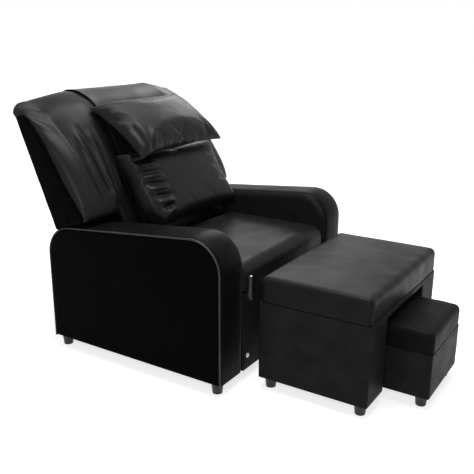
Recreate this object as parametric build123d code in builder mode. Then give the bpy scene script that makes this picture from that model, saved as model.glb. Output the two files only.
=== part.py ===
"""Pedicure spa chair: a reclining armchair, its ottoman and the foot stool that tucks into it.

Millimetres. +Z is up, the sitter faces -Y and the sitter's left is +X.
The origin lies on the floor, under the middle of the whole set.
"""
import os
from math import cos, radians, sin, tan

from build123d import *

os.makedirs("parts", exist_ok=True)

# Overall sizes
CHAIR_WIDTH = 940.0            # outside to outside of the two arms
CHAIR_DEPTH = 800.0            # front face to rear face of an arm
ARM_WIDTH = 150.0
ARM_FRONT_HEIGHT = 570.0       # where the sloping top line of an arm meets its front plane
ARM_TOP_SLOPE = 5.2            # degrees, the top of an arm falls towards the rear
ARM_FRONT_RADIUS = 115.0
ARM_REAR_RADIUS = 120.0        # the back turns about the centre of this rounding
FOOT_HEIGHT = 40.0
FOOT_RADIUS = 22.0
FOOT_TIP_RADIUS = 18.0
FOOT_INSET = 35.0              # foot centre in from an outer face

# Arm construction
ARM_PADDING = 8.0              # foam and leatherette over the boards
ARM_BOARD = 12.0               # plywood
BATTEN_WIDTH = 40.0
BATTEN_DEPTH = 60.0
ARM_EDGE_ROUNDING = 7.0        # inner top edge of an arm
PIPING_RADIUS = 3.5
PIPING_CLEARANCE = 0.2

# Seat
SEAT_HEIGHT = 435.0
SEAT_CUSHION_THICKNESS = 101.0
SEAT_DEPTH = 482.0             # front plane to the back end of the cushion
SEAT_SIDE_CLEARANCE = 4.0
SEAT_FRONT_ROUNDING = 45.0
RAIL_THICKNESS = 25.0
RAIL_HEIGHT = 60.0
RAIL_TO_CUSHION = 9.0          # room for the springs and their clips
REAR_RAIL_SETBACK = 440.0      # front plane to the front of the rear seat rail
BASE_PANEL = 18.0
BASE_PANEL_SETBACK = 2.0
BASE_PANEL_CLEARANCE = 2.0     # at each end of the front and rear panels
DUST_COVER = 1.5
SPRING_WIRE = 3.8
SPRING_COUNT = 5
SPRING_SPACING = 105.0
SPRING_PITCH = 22.0
SPRING_HALF_WIDTH = 18.0
CLIP_WIDTH = 46.0
CLIP_THICKNESS = 2.0

# Back: measured up along its rear face and out towards the sitter, from the hinge axis
BACK_RAKE = 23.0               # degrees from upright at rest
BACK_WIDTH = 970.0             # over the wings
BACK_REAR_OFFSET = 11.0        # rear face behind the hinge axis
BACK_COVER = 6.0
BACK_BOTTOM = -45.0            # lower end of the pad
BACK_FRAME_BOTTOM = -50.0
BACK_FRAME_TOP = 575.0
TOP_RAIL_TOP = 562.0
WING_BOARD_TOP = 535.0
WING_LIP = 102.0               # front lower corner of the pad over an arm
BACK_FRAME_DEPTH = 53.0        # from the inside of the rear cover to the pad
BACK_PAD_BOTTOM_OUT = 185.0
BACK_PAD_SHOULDER = (381.0, 178.0)
BACK_PAD_CREST = (526.0, 149.0)
BACK_PAD_RIDGE = (633.0, 42.0)
BACK_ROLL_REAR = (632.0, -6.0)
BACK_ROLL_END = (592.0, -30.0)
BACK_ROLL_TUCK = 572.0
BACK_SIDE_CLEARANCE = 8.0      # lower back to the inner face of an arm
PAD_BOTTOM_ROUNDING = 28.0
WING_GAP = 8.0                 # wing underside to the rear rounding of an arm
WING_PANEL = 12.0
WING_BOARD_LIFT = 8.0          # padding under the wing boards
WING_FRONT_BOTTOM = 150.0
WING_HEEL = 60.0               # the wing underside falls forward from here
WING_FRONT_MIDDLE = (283.0, 106.0)
WING_FRONT_TOP = (475.0, 74.0)
WING_TOP = (560.0, 40.0)
BACK_RAIL = 25.0
STILE_WIDTH = 45.0
STILE_DEPTH = 28.0
TOP_RAIL_HEIGHT = 45.0
LOWER_RAIL_HEIGHT = 45.0
WEBBING_WIDTH = 60.0
WEBBING_THICKNESS = 2.0
WEBBING_COUNT = 6
WEBBING_PITCH = 84.0
WEBBING_START = 75.0

# Back hinge
HINGE_PLATE = 4.0
HINGE_PLATE_WIDTH = 44.0
HINGE_PLATE_TO_RAIL = 16.0     # end of a plate to the rail over it
HINGE_BRACKET_WIDTH = 60.0
HINGE_BRACKET_TO_RAIL = 7.6    # foot of a bracket to the seat rail under it
HINGE_PIN_RADIUS = 6.0
HINGE_PIN_LENGTH = 16.0
BUSH_WALL = 2.0
BUSH_FLANGE_RADIUS = 11.0
BUSH_FLANGE = 1.8
RUNNING_CLEARANCE = 0.05       # radial, pin in bush
HINGE_PLAY = 0.2               # bush flange to bracket
HINGE_SIDE_CLEARANCE = 3.0      # lower rail and cover to the bushes

# Gas strut between the base and the back
STRUT_BASE_BEHIND_FRONT = 300.0
STRUT_UNDER_RAIL = 30.34       # line of the strut to the underside of the rear seat rail
STRUT_TOP_UP = -62.0           # upper pin, in the measures of the back
STRUT_TOP_OUT = -47.0
STRUT_RADIUS = 11.0
STRUT_WALL = 2.0
STRUT_ROD_RADIUS = 4.0
STRUT_CYLINDER_LENGTH = 250.0
STRUT_ROD_INSERTION = 45.6     # rod inside the cylinder at rest
STRUT_PIN_RADIUS = 4.0
STRUT_PIN_OVERHANG = 2.0
STRUT_EYE_RADIUS = 9.0
STRUT_EYE_THICKNESS = 10.0
STRUT_OPEN_EYE_RADIUS = 15.0
STRUT_OPEN_EYE_CLEARANCE = 5.5
STRUT_EAR = 3.0
STRUT_EAR_GAP = 1.5
STRUT_EAR_RADIUS = 10.0
STRUT_PISTON = 12.0
CROSS_RAIL_HEIGHT = 40.0
CROSS_RAIL_WIDTH = 40.0

# Runner and loose cushions
RUNNER_WIDTH = 450.0
RUNNER_THICKNESS = 2.0
RUNNER_GAP = 1.0
RUNNER_FRONT_END = -5.0        # up along the pad
RUNNER_REAR_END = 420.0        # up along the rear face
RUNNER_LANDING = 500.0         # where it meets the rear face behind the top roll
PILLOW_WIDTH = 530.0
PILLOW_LENGTH = 300.0
PILLOW_OVER = 66.0             # bulge of its face above the seam
PILLOW_UNDER = 22.0            # bulge of its underside below the seam
PILLOW_TILT = 33.0             # degrees, pillow to the rear face of the back
PILLOW_CENTRE = (402.0, 242.0)
LUMBAR_WIDTH = 550.0
LUMBAR_BOTTOM = -4.0
LUMBAR_TOP = 292.0
LUMBAR_THICKNESS = 104.0
LUMBAR_GAP = 5.0               # pad to the cushion, with the runner between them
LUMBAR_ROUNDING = 42.0

# Release lever and cap on the front
LEVER_SIDE = 290.0             # from the middle to the lever
LEVER_PIVOT_DROP = 13.0        # pivot below the top of the seat rails
LEVER_LENGTH = 88.0            # pivot to tip
LEVER_WIDTH = 10.0
LEVER_THICKNESS = 8.0
LEVER_PIN_RADIUS = 3.0
LEVER_STAND_OFF = 11.0         # pivot in front of the apron
LEVER_CHEEK = 2.5
LEVER_CHEEK_GAP = 0.5
LEVER_BASE_PLATE = 2.0
LEVER_BASE_HEIGHT = 26.0
CAP_HEIGHT = 91.0
CAP_RADIUS = 9.0
CAP_THICKNESS = 3.0

# Ottoman and foot stool
OTTOMAN_GAP = 65.0             # front of the chair to the ottoman
OTTOMAN_WIDTH = 654.0
OTTOMAN_DEPTH = 411.0
OTTOMAN_HEIGHT = 420.0
OTTOMAN_CUSHION = 91.0
OTTOMAN_SIDE_WIDTH = 147.0
OTTOMAN_WALL = 15.0
OTTOMAN_REAR_PANEL = 18.0
OTTOMAN_TOP_BOARD = 18.0
STOOL_WIDTH = 320.0
STOOL_DEPTH = 300.0
STOOL_HEIGHT = 279.0
STOOL_CUSHION = 77.0
STOOL_WALL = 15.0
STOOL_TOP_BOARD = 15.0
STOOL_REACH = 152.0            # front of the ottoman to the front of the stool
CUSHION_ROUNDING = 18.0

# Fasteners
BOLT_RADIUS = 4.0
BOLT_CLEARANCE = 0.2
BOLT_HEAD_RADIUS = 7.5
BOLT_HEAD = 5.0
BOLT_INSET = 100.0

# Worked-out places
HALF_WIDTH = CHAIR_WIDTH / 2
ARM_INNER = HALF_WIDTH - ARM_WIDTH
HALF_BACK = BACK_WIDTH / 2
FRONT_REACH = OTTOMAN_GAP + OTTOMAN_DEPTH + STOOL_REACH
REAR_REACH = (CHAIR_DEPTH - ARM_REAR_RADIUS + BACK_ROLL_END[0] * sin(radians(BACK_RAKE))
              - BACK_ROLL_END[1] * cos(radians(BACK_RAKE)) + RUNNER_GAP + RUNNER_THICKNESS)
FRONT = (FRONT_REACH - REAR_REACH) / 2
REAR = FRONT + CHAIR_DEPTH
PIVOT_Y = REAR - ARM_REAR_RADIUS
PIVOT_Z = (ARM_FRONT_HEIGHT - (CHAIR_DEPTH - ARM_REAR_RADIUS) * tan(radians(ARM_TOP_SLOPE))
           - ARM_REAR_RADIUS / cos(radians(ARM_TOP_SLOPE)))
LOWER_HALF = ARM_INNER - BACK_SIDE_CLEARANCE
WING_BOTTOM = ARM_REAR_RADIUS + WING_GAP
WING_BOARD_BOTTOM = WING_BOTTOM + WING_BOARD_LIFT
WING_INNER = HALF_BACK - WING_PANEL
FRAME_REAR = BACK_COVER - BACK_REAR_OFFSET
FRAME_FRONT = FRAME_REAR + BACK_FRAME_DEPTH
PAD_REAR = FRAME_FRONT
CUSHION_BOTTOM = SEAT_HEIGHT - SEAT_CUSHION_THICKNESS
RAIL_TOP = CUSHION_BOTTOM - RAIL_TO_CUSHION
RAIL_BOTTOM = RAIL_TOP - RAIL_HEIGHT
BOLT_LINE = (RAIL_BOTTOM + RAIL_TOP) / 2
LEVER_PIVOT_HEIGHT = RAIL_TOP - LEVER_PIVOT_DROP
OTTOMAN_BACK = FRONT - OTTOMAN_GAP
OTTOMAN_FRONT = OTTOMAN_BACK - OTTOMAN_DEPTH
STOOL_FRONT = OTTOMAN_FRONT - STOOL_REACH
SIDES = (("right", -1), ("left", 1))

# Side view of the back: local X runs up its rear face, local Y out towards the sitter
BACK_SIDE = Plane(
    origin=(0, PIVOT_Y, PIVOT_Z),
    x_dir=(0, sin(radians(BACK_RAKE)), cos(radians(BACK_RAKE))),
    z_dir=(1, 0, 0),
)


def span(low, high):
    """Middle and length of a stretch."""
    return (low + high) / 2, high - low


def block(x, y, z):
    """A square-edged board from its low and high values along X, Y and Z."""
    mid_x, size_x = span(*x)
    mid_y, size_y = span(*y)
    with BuildPart() as board:
        with BuildSketch(Plane.XY.offset(z[0])):
            with Locations((mid_x, mid_y)):
                Rectangle(size_x, size_y)
        extrude(amount=z[1] - z[0])
    return board.part


def back_block(x, up, out):
    """A board of the back, from its low and high values across, up and out."""
    mid_up, size_up = span(*up)
    mid_out, size_out = span(*out)
    with BuildPart() as board:
        with BuildSketch(BACK_SIDE.offset(x[0])):
            with Locations((mid_up, mid_out)):
                Rectangle(size_up, size_out)
        extrude(amount=x[1] - x[0])
    return board.part


def up_the_back(edge):
    """How far up the back the middle of an edge lies."""
    return BACK_SIDE.to_local_coords(edge.center()).X


def out_of_back(edge):
    """How far out of the back, towards the sitter, the middle of an edge lies."""
    return BACK_SIDE.to_local_coords(edge.center()).Y


def rod(plane, radius, length):
    """A round bar that starts on a plane and runs along its normal."""
    with BuildPart() as bar:
        with BuildSketch(plane):
            Circle(radius)
        extrude(amount=length)
    return bar.part


def cross_rod(x, y, z, radius):
    """A round bar along X, from its low and high values."""
    start = Plane(origin=(x[0], y, z), x_dir=(0, 1, 0), z_dir=(1, 0, 0))
    return rod(start, radius, x[1] - x[0])


def mirrored(side, low, high):
    """Low and high X of a piece on one side, given for the sitter's left."""
    return (low, high) if side > 0 else (-high, -low)


def arm_top(depth):
    """Height of the top line of an arm at a depth behind its front plane."""
    return ARM_FRONT_HEIGHT - depth * tan(radians(ARM_TOP_SLOPE))


def arm_prism(x, inset):
    """The rounded side outline of an arm, moved in by inset, as a slab between two X values."""
    drop = inset / cos(radians(ARM_TOP_SLOPE))
    front_top = (FRONT + inset, arm_top(inset) - drop)
    rear_top = (REAR - inset, arm_top(CHAIR_DEPTH - inset) - drop)
    with BuildPart() as slab:
        with BuildSketch(Plane.YZ.offset(x[0])) as outline:
            with BuildLine():
                Polyline((FRONT + inset, FOOT_HEIGHT), front_top, rear_top,
                         (REAR - inset, FOOT_HEIGHT), close=True)
            make_face()
            fillet(outline.vertices().sort_by_distance((*front_top, 0))[0], ARM_FRONT_RADIUS - inset)
            fillet(outline.vertices().sort_by_distance((*rear_top, 0))[0], ARM_REAR_RADIUS - inset)
        extrude(amount=x[1] - x[0])
    return slab.part


def piping_path(x):
    """The welt line along the outer edge of an arm, up the front, over the top and down the rear."""
    inset = PIPING_RADIUS
    drop = inset / cos(radians(ARM_TOP_SLOPE))
    corners = [
        (x, FRONT + inset, FOOT_HEIGHT),
        (x, FRONT + inset, arm_top(inset) - drop),
        (x, REAR - inset, arm_top(CHAIR_DEPTH - inset) - drop),
        (x, REAR - inset, FOOT_HEIGHT),
    ]
    with BuildLine() as path:
        FilletPolyline(*corners, radius=[ARM_FRONT_RADIUS - inset, ARM_REAR_RADIUS - inset])
    return path.line


def piping(x, radius):
    """A round cord along the welt line."""
    with BuildPart() as cord:
        path = piping_path(x)
        with BuildSketch(Plane(origin=path @ 0, z_dir=path % 0)):
            Circle(radius)
        sweep(path=path)
    return cord.part


def glides(centres):
    """Round black glides under a piece of furniture."""
    with BuildPart() as feet:
        for x, y in centres:
            with BuildSketch(Plane.XY):
                with Locations((x, y)):
                    Circle(FOOT_TIP_RADIUS)
            with BuildSketch(Plane.XY.offset(FOOT_HEIGHT)):
                with Locations((x, y)):
                    Circle(FOOT_RADIUS)
            loft()
    return feet.part


def corner_places(half_width, front, rear):
    """The four foot centres of a piece, set in from its outer faces."""
    across = half_width - FOOT_INSET
    return [(side * across, y) for side in (-1, 1) for y in (front + FOOT_INSET, rear - FOOT_INSET)]


# Arms
BOLT_PLACES = [FRONT + BOLT_INSET, FRONT + CHAIR_DEPTH / 2, REAR - BOLT_INSET]
ARM_LAYERS = {
    "inner": (ARM_INNER + ARM_PADDING, ARM_INNER + ARM_PADDING + ARM_BOARD),
    "outer": (HALF_WIDTH - ARM_PADDING - ARM_BOARD, HALF_WIDTH - ARM_PADDING),
}


def bolt_holes(side):
    """Clearance holes for the frame bolts of one side."""
    with BuildPart() as holes:
        for y in BOLT_PLACES:
            x = mirrored(side, ARM_INNER - RAIL_THICKNESS, ARM_LAYERS["inner"][1])
            add(cross_rod(x, y, BOLT_LINE, BOLT_RADIUS + BOLT_CLEARANCE))
    return holes.part


for name, side in SIDES:
    pocket = mirrored(side, ARM_INNER + ARM_PADDING, HALF_WIDTH - ARM_PADDING)
    outer_face = side * (HALF_WIDTH - PIPING_RADIUS)

    with BuildPart() as arm_cover:
        add(arm_prism(mirrored(side, ARM_INNER, HALF_WIDTH - PIPING_RADIUS), 0))
        add(arm_prism(mirrored(side, HALF_WIDTH - PIPING_RADIUS, HALF_WIDTH), PIPING_RADIUS))
        inner_edges = arm_cover.edges().filter_by_position(Axis.X, side * ARM_INNER - 1, side * ARM_INNER + 1)
        fillet(inner_edges.filter_by(lambda e: e.center().Z > PIVOT_Z), ARM_EDGE_ROUNDING)
        add(arm_prism(pocket, ARM_PADDING), mode=Mode.SUBTRACT)
        add(piping(outer_face, PIPING_RADIUS + PIPING_CLEARANCE), mode=Mode.SUBTRACT)
        add(bolt_holes(side), mode=Mode.SUBTRACT)
    arm_cover.part.label = f"arm_cover_{name}"
    export_step(arm_cover.part, f"parts/arm_cover_{name}.step")

    for layer, (low, high) in ARM_LAYERS.items():
        with BuildPart() as arm_board:
            add(arm_prism(mirrored(side, low, high), ARM_PADDING))
            if layer == "inner":
                add(bolt_holes(side), mode=Mode.SUBTRACT)
        arm_board.part.label = f"arm_{layer}_board_{name}"
        export_step(arm_board.part, f"parts/arm_{layer}_board_{name}.step")

BATTEN_ENDS = (ARM_LAYERS["inner"][1], ARM_LAYERS["outer"][0])
BATTEN_FRONT = (FRONT + ARM_PADDING, FRONT + ARM_PADDING + BATTEN_DEPTH)
BATTEN_REAR = (REAR - ARM_PADDING - BATTEN_DEPTH, REAR - ARM_PADDING)
BATTEN_LOW = (FOOT_HEIGHT, FOOT_HEIGHT + BATTEN_WIDTH)
BATTEN_HIGH = (PIVOT_Z - BATTEN_WIDTH - ARM_PADDING, PIVOT_Z - ARM_PADDING)

with BuildPart() as arm_battens:
    for name, side in SIDES:
        for y in (BATTEN_FRONT, BATTEN_REAR):
            for z in (BATTEN_LOW, BATTEN_HIGH):
                add(block(mirrored(side, *BATTEN_ENDS), y, z))
arm_battens.part.label = "arm_battens"
export_step(arm_battens.part, "parts/arm_battens.step")

with BuildPart() as arm_piping:
    for name, side in SIDES:
        add(piping(side * (HALF_WIDTH - PIPING_RADIUS), PIPING_RADIUS))
arm_piping.part.label = "arm_piping"
export_step(arm_piping.part, "parts/arm_piping.step")

# Seat frame
SEAT_RAIL_FRONT = FRONT + BASE_PANEL_SETBACK + BASE_PANEL
SEAT_RAIL_REAR = REAR - BASE_PANEL_SETBACK - BASE_PANEL
RAIL_Z = (RAIL_BOTTOM, RAIL_TOP)
INNER_RAIL = ARM_INNER - RAIL_THICKNESS
REAR_RAIL_Y = (FRONT + REAR_RAIL_SETBACK, FRONT + REAR_RAIL_SETBACK + RAIL_THICKNESS)

for name, side in SIDES:
    with BuildPart() as side_rail:
        add(block(mirrored(side, INNER_RAIL, ARM_INNER), (SEAT_RAIL_FRONT, SEAT_RAIL_REAR), RAIL_Z))
        add(bolt_holes(side), mode=Mode.SUBTRACT)
    side_rail.part.label = f"seat_side_rail_{name}"
    export_step(side_rail.part, f"parts/seat_side_rail_{name}.step")

with BuildPart() as seat_front_rail:
    add(block((-INNER_RAIL, INNER_RAIL), (SEAT_RAIL_FRONT, SEAT_RAIL_FRONT + RAIL_THICKNESS), RAIL_Z))
seat_front_rail.part.label = "seat_front_rail"
export_step(seat_front_rail.part, "parts/seat_front_rail.step")

with BuildPart() as seat_rear_rail:
    add(block((-INNER_RAIL, INNER_RAIL), REAR_RAIL_Y, RAIL_Z))
seat_rear_rail.part.label = "seat_rear_rail"
export_step(seat_rear_rail.part, "parts/seat_rear_rail.step")

with BuildPart() as frame_bolts:
    for name, side in SIDES:
        for y in BOLT_PLACES:
            add(cross_rod(mirrored(side, INNER_RAIL, ARM_LAYERS["inner"][1]), y, BOLT_LINE, BOLT_RADIUS))
            add(cross_rod(mirrored(side, INNER_RAIL - BOLT_HEAD, INNER_RAIL), y, BOLT_LINE,
                          BOLT_HEAD_RADIUS))
frame_bolts.part.label = "frame_bolts"
export_step(frame_bolts.part, "parts/frame_bolts.step")

# Seat springs: sinuous wires from the front rail to the rear rail, held by a clip at each end
SPRING_Z = RAIL_TOP + CLIP_THICKNESS + SPRING_WIRE / 2
SPRING_START = SEAT_RAIL_FRONT + RAIL_THICKNESS / 2
SPRING_END = REAR_RAIL_Y[0] + RAIL_THICKNESS / 2
SPRING_PLACES = [SPRING_SPACING * (n - (SPRING_COUNT - 1) / 2) for n in range(SPRING_COUNT)]


def sinuous_wire(x):
    """A zigzag wire about a line along Y: bars across it, joined by half circles."""
    bars = int((SPRING_END - SPRING_START) / SPRING_PITCH)
    pitch = (SPRING_END - SPRING_START) / bars
    with BuildPart() as wire:
        with BuildLine() as path:
            for n in range(bars + 1):
                y = SPRING_START + n * pitch
                hand = 1 if n % 2 == 0 else -1
                near = x - hand * SPRING_HALF_WIDTH
                far = x + hand * SPRING_HALF_WIDTH
                Line((near, y, SPRING_Z), (far, y, SPRING_Z))
                if n < bars:
                    bulge = (far + hand * pitch / 2, y + pitch / 2, SPRING_Z)
                    ThreePointArc((far, y, SPRING_Z), bulge, (far, y + pitch, SPRING_Z))
        with BuildSketch(Plane(origin=path.line @ 0, z_dir=path.line % 0)):
            Circle(SPRING_WIRE / 2)
        sweep(path=path.line)
    return wire.part


with BuildPart() as seat_springs:
    for x in SPRING_PLACES:
        add(sinuous_wire(x))
seat_springs.part.label = "seat_springs"
export_step(seat_springs.part, "parts/seat_springs.step")

with BuildPart() as seat_spring_clips:
    for x in SPRING_PLACES:
        for y in (SPRING_START, SPRING_END):
            clip_x = (x - CLIP_WIDTH / 2, x + CLIP_WIDTH / 2)
            clip_y = (y - RAIL_THICKNESS / 2, y + RAIL_THICKNESS / 2)
            add(block(clip_x, clip_y, (RAIL_TOP, RAIL_TOP + CLIP_THICKNESS)))
seat_spring_clips.part.label = "seat_spring_clips"
export_step(seat_spring_clips.part, "parts/seat_spring_clips.step")

with BuildPart() as seat_cushion:
    half = ARM_INNER - SEAT_SIDE_CLEARANCE
    add(block((-half, half), (FRONT + BASE_PANEL_SETBACK, FRONT + SEAT_DEPTH), (CUSHION_BOTTOM, SEAT_HEIGHT)))
    front_top = seat_cushion.edges().filter_by(Axis.X).group_by(Axis.Z)[-1].sort_by(Axis.Y)[0]
    fillet(front_top, SEAT_FRONT_ROUNDING)
seat_cushion.part.label = "seat_cushion"
export_step(seat_cushion.part, "parts/seat_cushion.step")

# Base
PANEL_HALF = ARM_INNER - BASE_PANEL_CLEARANCE
APRON_Y = (FRONT + BASE_PANEL_SETBACK, SEAT_RAIL_FRONT)

with BuildPart() as front_apron:
    add(block((-PANEL_HALF, PANEL_HALF), APRON_Y, (FOOT_HEIGHT, CUSHION_BOTTOM)))
front_apron.part.label = "front_apron"
export_step(front_apron.part, "parts/front_apron.step")

with BuildPart() as base_rear_panel:
    add(block((-PANEL_HALF, PANEL_HALF), (SEAT_RAIL_REAR, REAR - BASE_PANEL_SETBACK), (FOOT_HEIGHT, RAIL_TOP)))
base_rear_panel.part.label = "base_rear_panel"
export_step(base_rear_panel.part, "parts/base_rear_panel.step")

with BuildPart() as base_dust_cover:
    add(block((-PANEL_HALF, PANEL_HALF), (APRON_Y[0], REAR - BASE_PANEL_SETBACK),
              (FOOT_HEIGHT - DUST_COVER, FOOT_HEIGHT)))
base_dust_cover.part.label = "base_dust_cover"
export_step(base_dust_cover.part, "parts/base_dust_cover.step")

with BuildPart() as chair_feet:
    add(glides(corner_places(HALF_WIDTH, FRONT, REAR)))
chair_feet.part.label = "chair_feet"
export_step(chair_feet.part, "parts/chair_feet.step")

# Back hinge, about the X axis through the centre of the arms' rear rounding
BRACKET_X = (ARM_INNER - HINGE_PLATE, ARM_INNER)
PLATE_HIGH = BRACKET_X[0] - HINGE_PLAY - BUSH_FLANGE
PLATE_X = (PLATE_HIGH - HINGE_PLATE, PLATE_HIGH)
BUSH_X = (PLATE_X[0] - HINGE_PLATE, PLATE_X[1])
BUSH_RADIUS = HINGE_PIN_RADIUS + RUNNING_CLEARANCE + BUSH_WALL

with BuildPart() as hinge_brackets:
    for name, side in SIDES:
        x = mirrored(side, *BRACKET_X)
        y = (PIVOT_Y - HINGE_BRACKET_WIDTH / 2, PIVOT_Y + HINGE_BRACKET_WIDTH / 2)
        add(block(x, y, (RAIL_TOP + HINGE_BRACKET_TO_RAIL, PIVOT_Z)))
        add(cross_rod(x, PIVOT_Y, PIVOT_Z, HINGE_BRACKET_WIDTH / 2))
        add(cross_rod(x, PIVOT_Y, PIVOT_Z, HINGE_PIN_RADIUS), mode=Mode.SUBTRACT)
hinge_brackets.part.label = "hinge_brackets"
export_step(hinge_brackets.part, "parts/hinge_brackets.step")

with BuildPart() as hinge_pins:
    for name, side in SIDES:
        add(cross_rod(mirrored(side, ARM_INNER - HINGE_PIN_LENGTH, ARM_INNER), PIVOT_Y, PIVOT_Z,
                      HINGE_PIN_RADIUS))
hinge_pins.part.label = "hinge_pins"
export_step(hinge_pins.part, "parts/hinge_pins.step")

with BuildPart() as hinge_plates:
    for name, side in SIDES:
        x = mirrored(side, *PLATE_X)
        plate_out = (FRAME_REAR, FRAME_REAR + HINGE_PLATE_WIDTH)
        add(back_block(x, (0, WING_BOARD_BOTTOM - HINGE_PLATE_TO_RAIL), plate_out))
        add(cross_rod(x, PIVOT_Y, PIVOT_Z, BUSH_FLANGE_RADIUS + BUSH_WALL))
        add(cross_rod(x, PIVOT_Y, PIVOT_Z, BUSH_RADIUS), mode=Mode.SUBTRACT)
hinge_plates.part.label = "hinge_plates"
export_step(hinge_plates.part, "parts/hinge_plates.step")

with BuildPart() as hinge_bushes:
    for name, side in SIDES:
        flange = mirrored(side, PLATE_HIGH, PLATE_HIGH + BUSH_FLANGE)
        whole = mirrored(side, BUSH_X[0], PLATE_HIGH + BUSH_FLANGE)
        add(cross_rod(mirrored(side, *BUSH_X), PIVOT_Y, PIVOT_Z, BUSH_RADIUS))
        add(cross_rod(flange, PIVOT_Y, PIVOT_Z, BUSH_FLANGE_RADIUS))
        add(cross_rod(whole, PIVOT_Y, PIVOT_Z, HINGE_PIN_RADIUS + RUNNING_CLEARANCE), mode=Mode.SUBTRACT)
hinge_bushes.part.label = "hinge_bushes"
export_step(hinge_bushes.part, "parts/hinge_bushes.step")

# Back frame
STILE_X = (PLATE_X[0] - STILE_WIDTH, PLATE_X[0])
STILE_OUT = (FRAME_REAR + BACK_RAIL, FRAME_REAR + BACK_RAIL + STILE_DEPTH)
BACK_RAIL_OUT = (FRAME_REAR, FRAME_REAR + BACK_RAIL)
WING_BOARD_X = (WING_INNER - ARM_BOARD, WING_INNER)
WING_BOARD_UP = (WING_BOARD_BOTTOM, WING_BOARD_TOP)

for name, side in SIDES:
    with BuildPart() as back_stile:
        add(back_block(mirrored(side, *STILE_X), (BACK_FRAME_BOTTOM, BACK_FRAME_TOP), STILE_OUT))
    back_stile.part.label = f"back_stile_{name}"
    export_step(back_stile.part, f"parts/back_stile_{name}.step")

    with BuildPart() as back_wing_board:
        add(back_block(mirrored(side, *WING_BOARD_X), WING_BOARD_UP, (FRAME_REAR, FRAME_FRONT)))
    back_wing_board.part.label = f"back_wing_board_{name}"
    export_step(back_wing_board.part, f"parts/back_wing_board_{name}.step")

with BuildPart() as back_top_rail:
    across = (-WING_BOARD_X[0], WING_BOARD_X[0])
    add(back_block(across, (TOP_RAIL_TOP - TOP_RAIL_HEIGHT, TOP_RAIL_TOP), BACK_RAIL_OUT))
back_top_rail.part.label = "back_top_rail"
export_step(back_top_rail.part, "parts/back_top_rail.step")

with BuildPart() as back_wing_rail:
    add(back_block(across, (WING_BOARD_UP[0], WING_BOARD_UP[0] + LOWER_RAIL_HEIGHT), BACK_RAIL_OUT))
back_wing_rail.part.label = "back_wing_rail"
export_step(back_wing_rail.part, "parts/back_wing_rail.step")

LOWER_RAIL_UP = (BACK_FRAME_BOTTOM, BACK_FRAME_BOTTOM + LOWER_RAIL_HEIGHT)
LOWER_RAIL_END = BUSH_X[0] - HINGE_SIDE_CLEARANCE
with BuildPart() as back_lower_rail:
    add(back_block((-LOWER_RAIL_END, LOWER_RAIL_END), LOWER_RAIL_UP, BACK_RAIL_OUT))
back_lower_rail.part.label = "back_lower_rail"
export_step(back_lower_rail.part, "parts/back_lower_rail.step")

with BuildPart() as back_webbing:
    for n in range(WEBBING_COUNT):
        low = WEBBING_START + n * WEBBING_PITCH
        add(back_block((-STILE_X[1], STILE_X[1]), (low, low + WEBBING_WIDTH),
                       (STILE_OUT[1], STILE_OUT[1] + WEBBING_THICKNESS)))
back_webbing.part.label = "back_webbing"
export_step(back_webbing.part, "parts/back_webbing.step")

# Back upholstery
PAD_INNER = PAD_REAR + WEBBING_THICKNESS


def pad_front(up):
    """How far out the straight lower front of the pad is at a height up the back."""
    share = (up - BACK_BOTTOM) / (BACK_PAD_SHOULDER[0] - BACK_BOTTOM)
    return BACK_PAD_BOTTOM_OUT + share * (BACK_PAD_SHOULDER[1] - BACK_PAD_BOTTOM_OUT)


def pad_slab(half, bottom, front_bottom):
    """The side outline of the pad from one side to the other, its underside level as far as the wing heel."""
    with BuildPart() as slab:
        with BuildSketch(BACK_SIDE.offset(-half)):
            with BuildLine():
                Polyline((bottom, PAD_INNER), (bottom, WING_HEEL), (front_bottom, pad_front(front_bottom)),
                         BACK_PAD_SHOULDER)
                ThreePointArc(BACK_PAD_SHOULDER, BACK_PAD_CREST, BACK_PAD_RIDGE)
                ThreePointArc(BACK_PAD_RIDGE, BACK_ROLL_REAR, BACK_ROLL_END)
                Polyline(BACK_ROLL_END, (BACK_ROLL_TUCK, -BACK_REAR_OFFSET),
                         (BACK_FRAME_TOP, -BACK_REAR_OFFSET), (BACK_FRAME_TOP, PAD_INNER), (bottom, PAD_INNER))
            make_face()
        extrude(amount=2 * half)
    return slab.part


with BuildPart() as back_pad:
    add(pad_slab(WING_INNER, WING_BOTTOM, WING_LIP))
    add(pad_slab(LOWER_HALF, BACK_BOTTOM, BACK_BOTTOM))
    low_edges = back_pad.edges().filter_by(Axis.X).filter_by(lambda e: up_the_back(e) < BACK_BOTTOM + 1)
    fillet(low_edges.sort_by(out_of_back)[-1], PAD_BOTTOM_ROUNDING)
back_pad.part.label = "back_pad"
export_step(back_pad.part, "parts/back_pad.step")

for name, side in SIDES:
    with BuildPart() as wing_cover:
        x = mirrored(side, WING_INNER, HALF_BACK)
        with BuildSketch(BACK_SIDE.offset(x[0])):
            with BuildLine():
                Polyline((WING_BOTTOM, -BACK_REAR_OFFSET), (WING_BOTTOM, WING_HEEL),
                         (WING_LIP, WING_FRONT_BOTTOM), WING_FRONT_MIDDLE,
                         WING_FRONT_TOP, WING_TOP, (BACK_ROLL_TUCK, -BACK_REAR_OFFSET), close=True)
            make_face()
        extrude(amount=x[1] - x[0])
    wing_cover.part.label = f"back_wing_cover_{name}"
    export_step(wing_cover.part, f"parts/back_wing_cover_{name}.step")

COVER_OUT = (-BACK_REAR_OFFSET, FRAME_REAR)
COVER_LOW_HALF = BUSH_X[0] - HINGE_SIDE_CLEARANCE
with BuildPart() as back_rear_cover:
    add(back_block((-WING_INNER, WING_INNER), (WING_BOTTOM, BACK_ROLL_TUCK), COVER_OUT))
    add(back_block((-COVER_LOW_HALF, COVER_LOW_HALF), (BACK_BOTTOM, WING_BOTTOM), COVER_OUT))
back_rear_cover.part.label = "back_rear_cover"
export_step(back_rear_cover.part, "parts/back_rear_cover.step")

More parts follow.
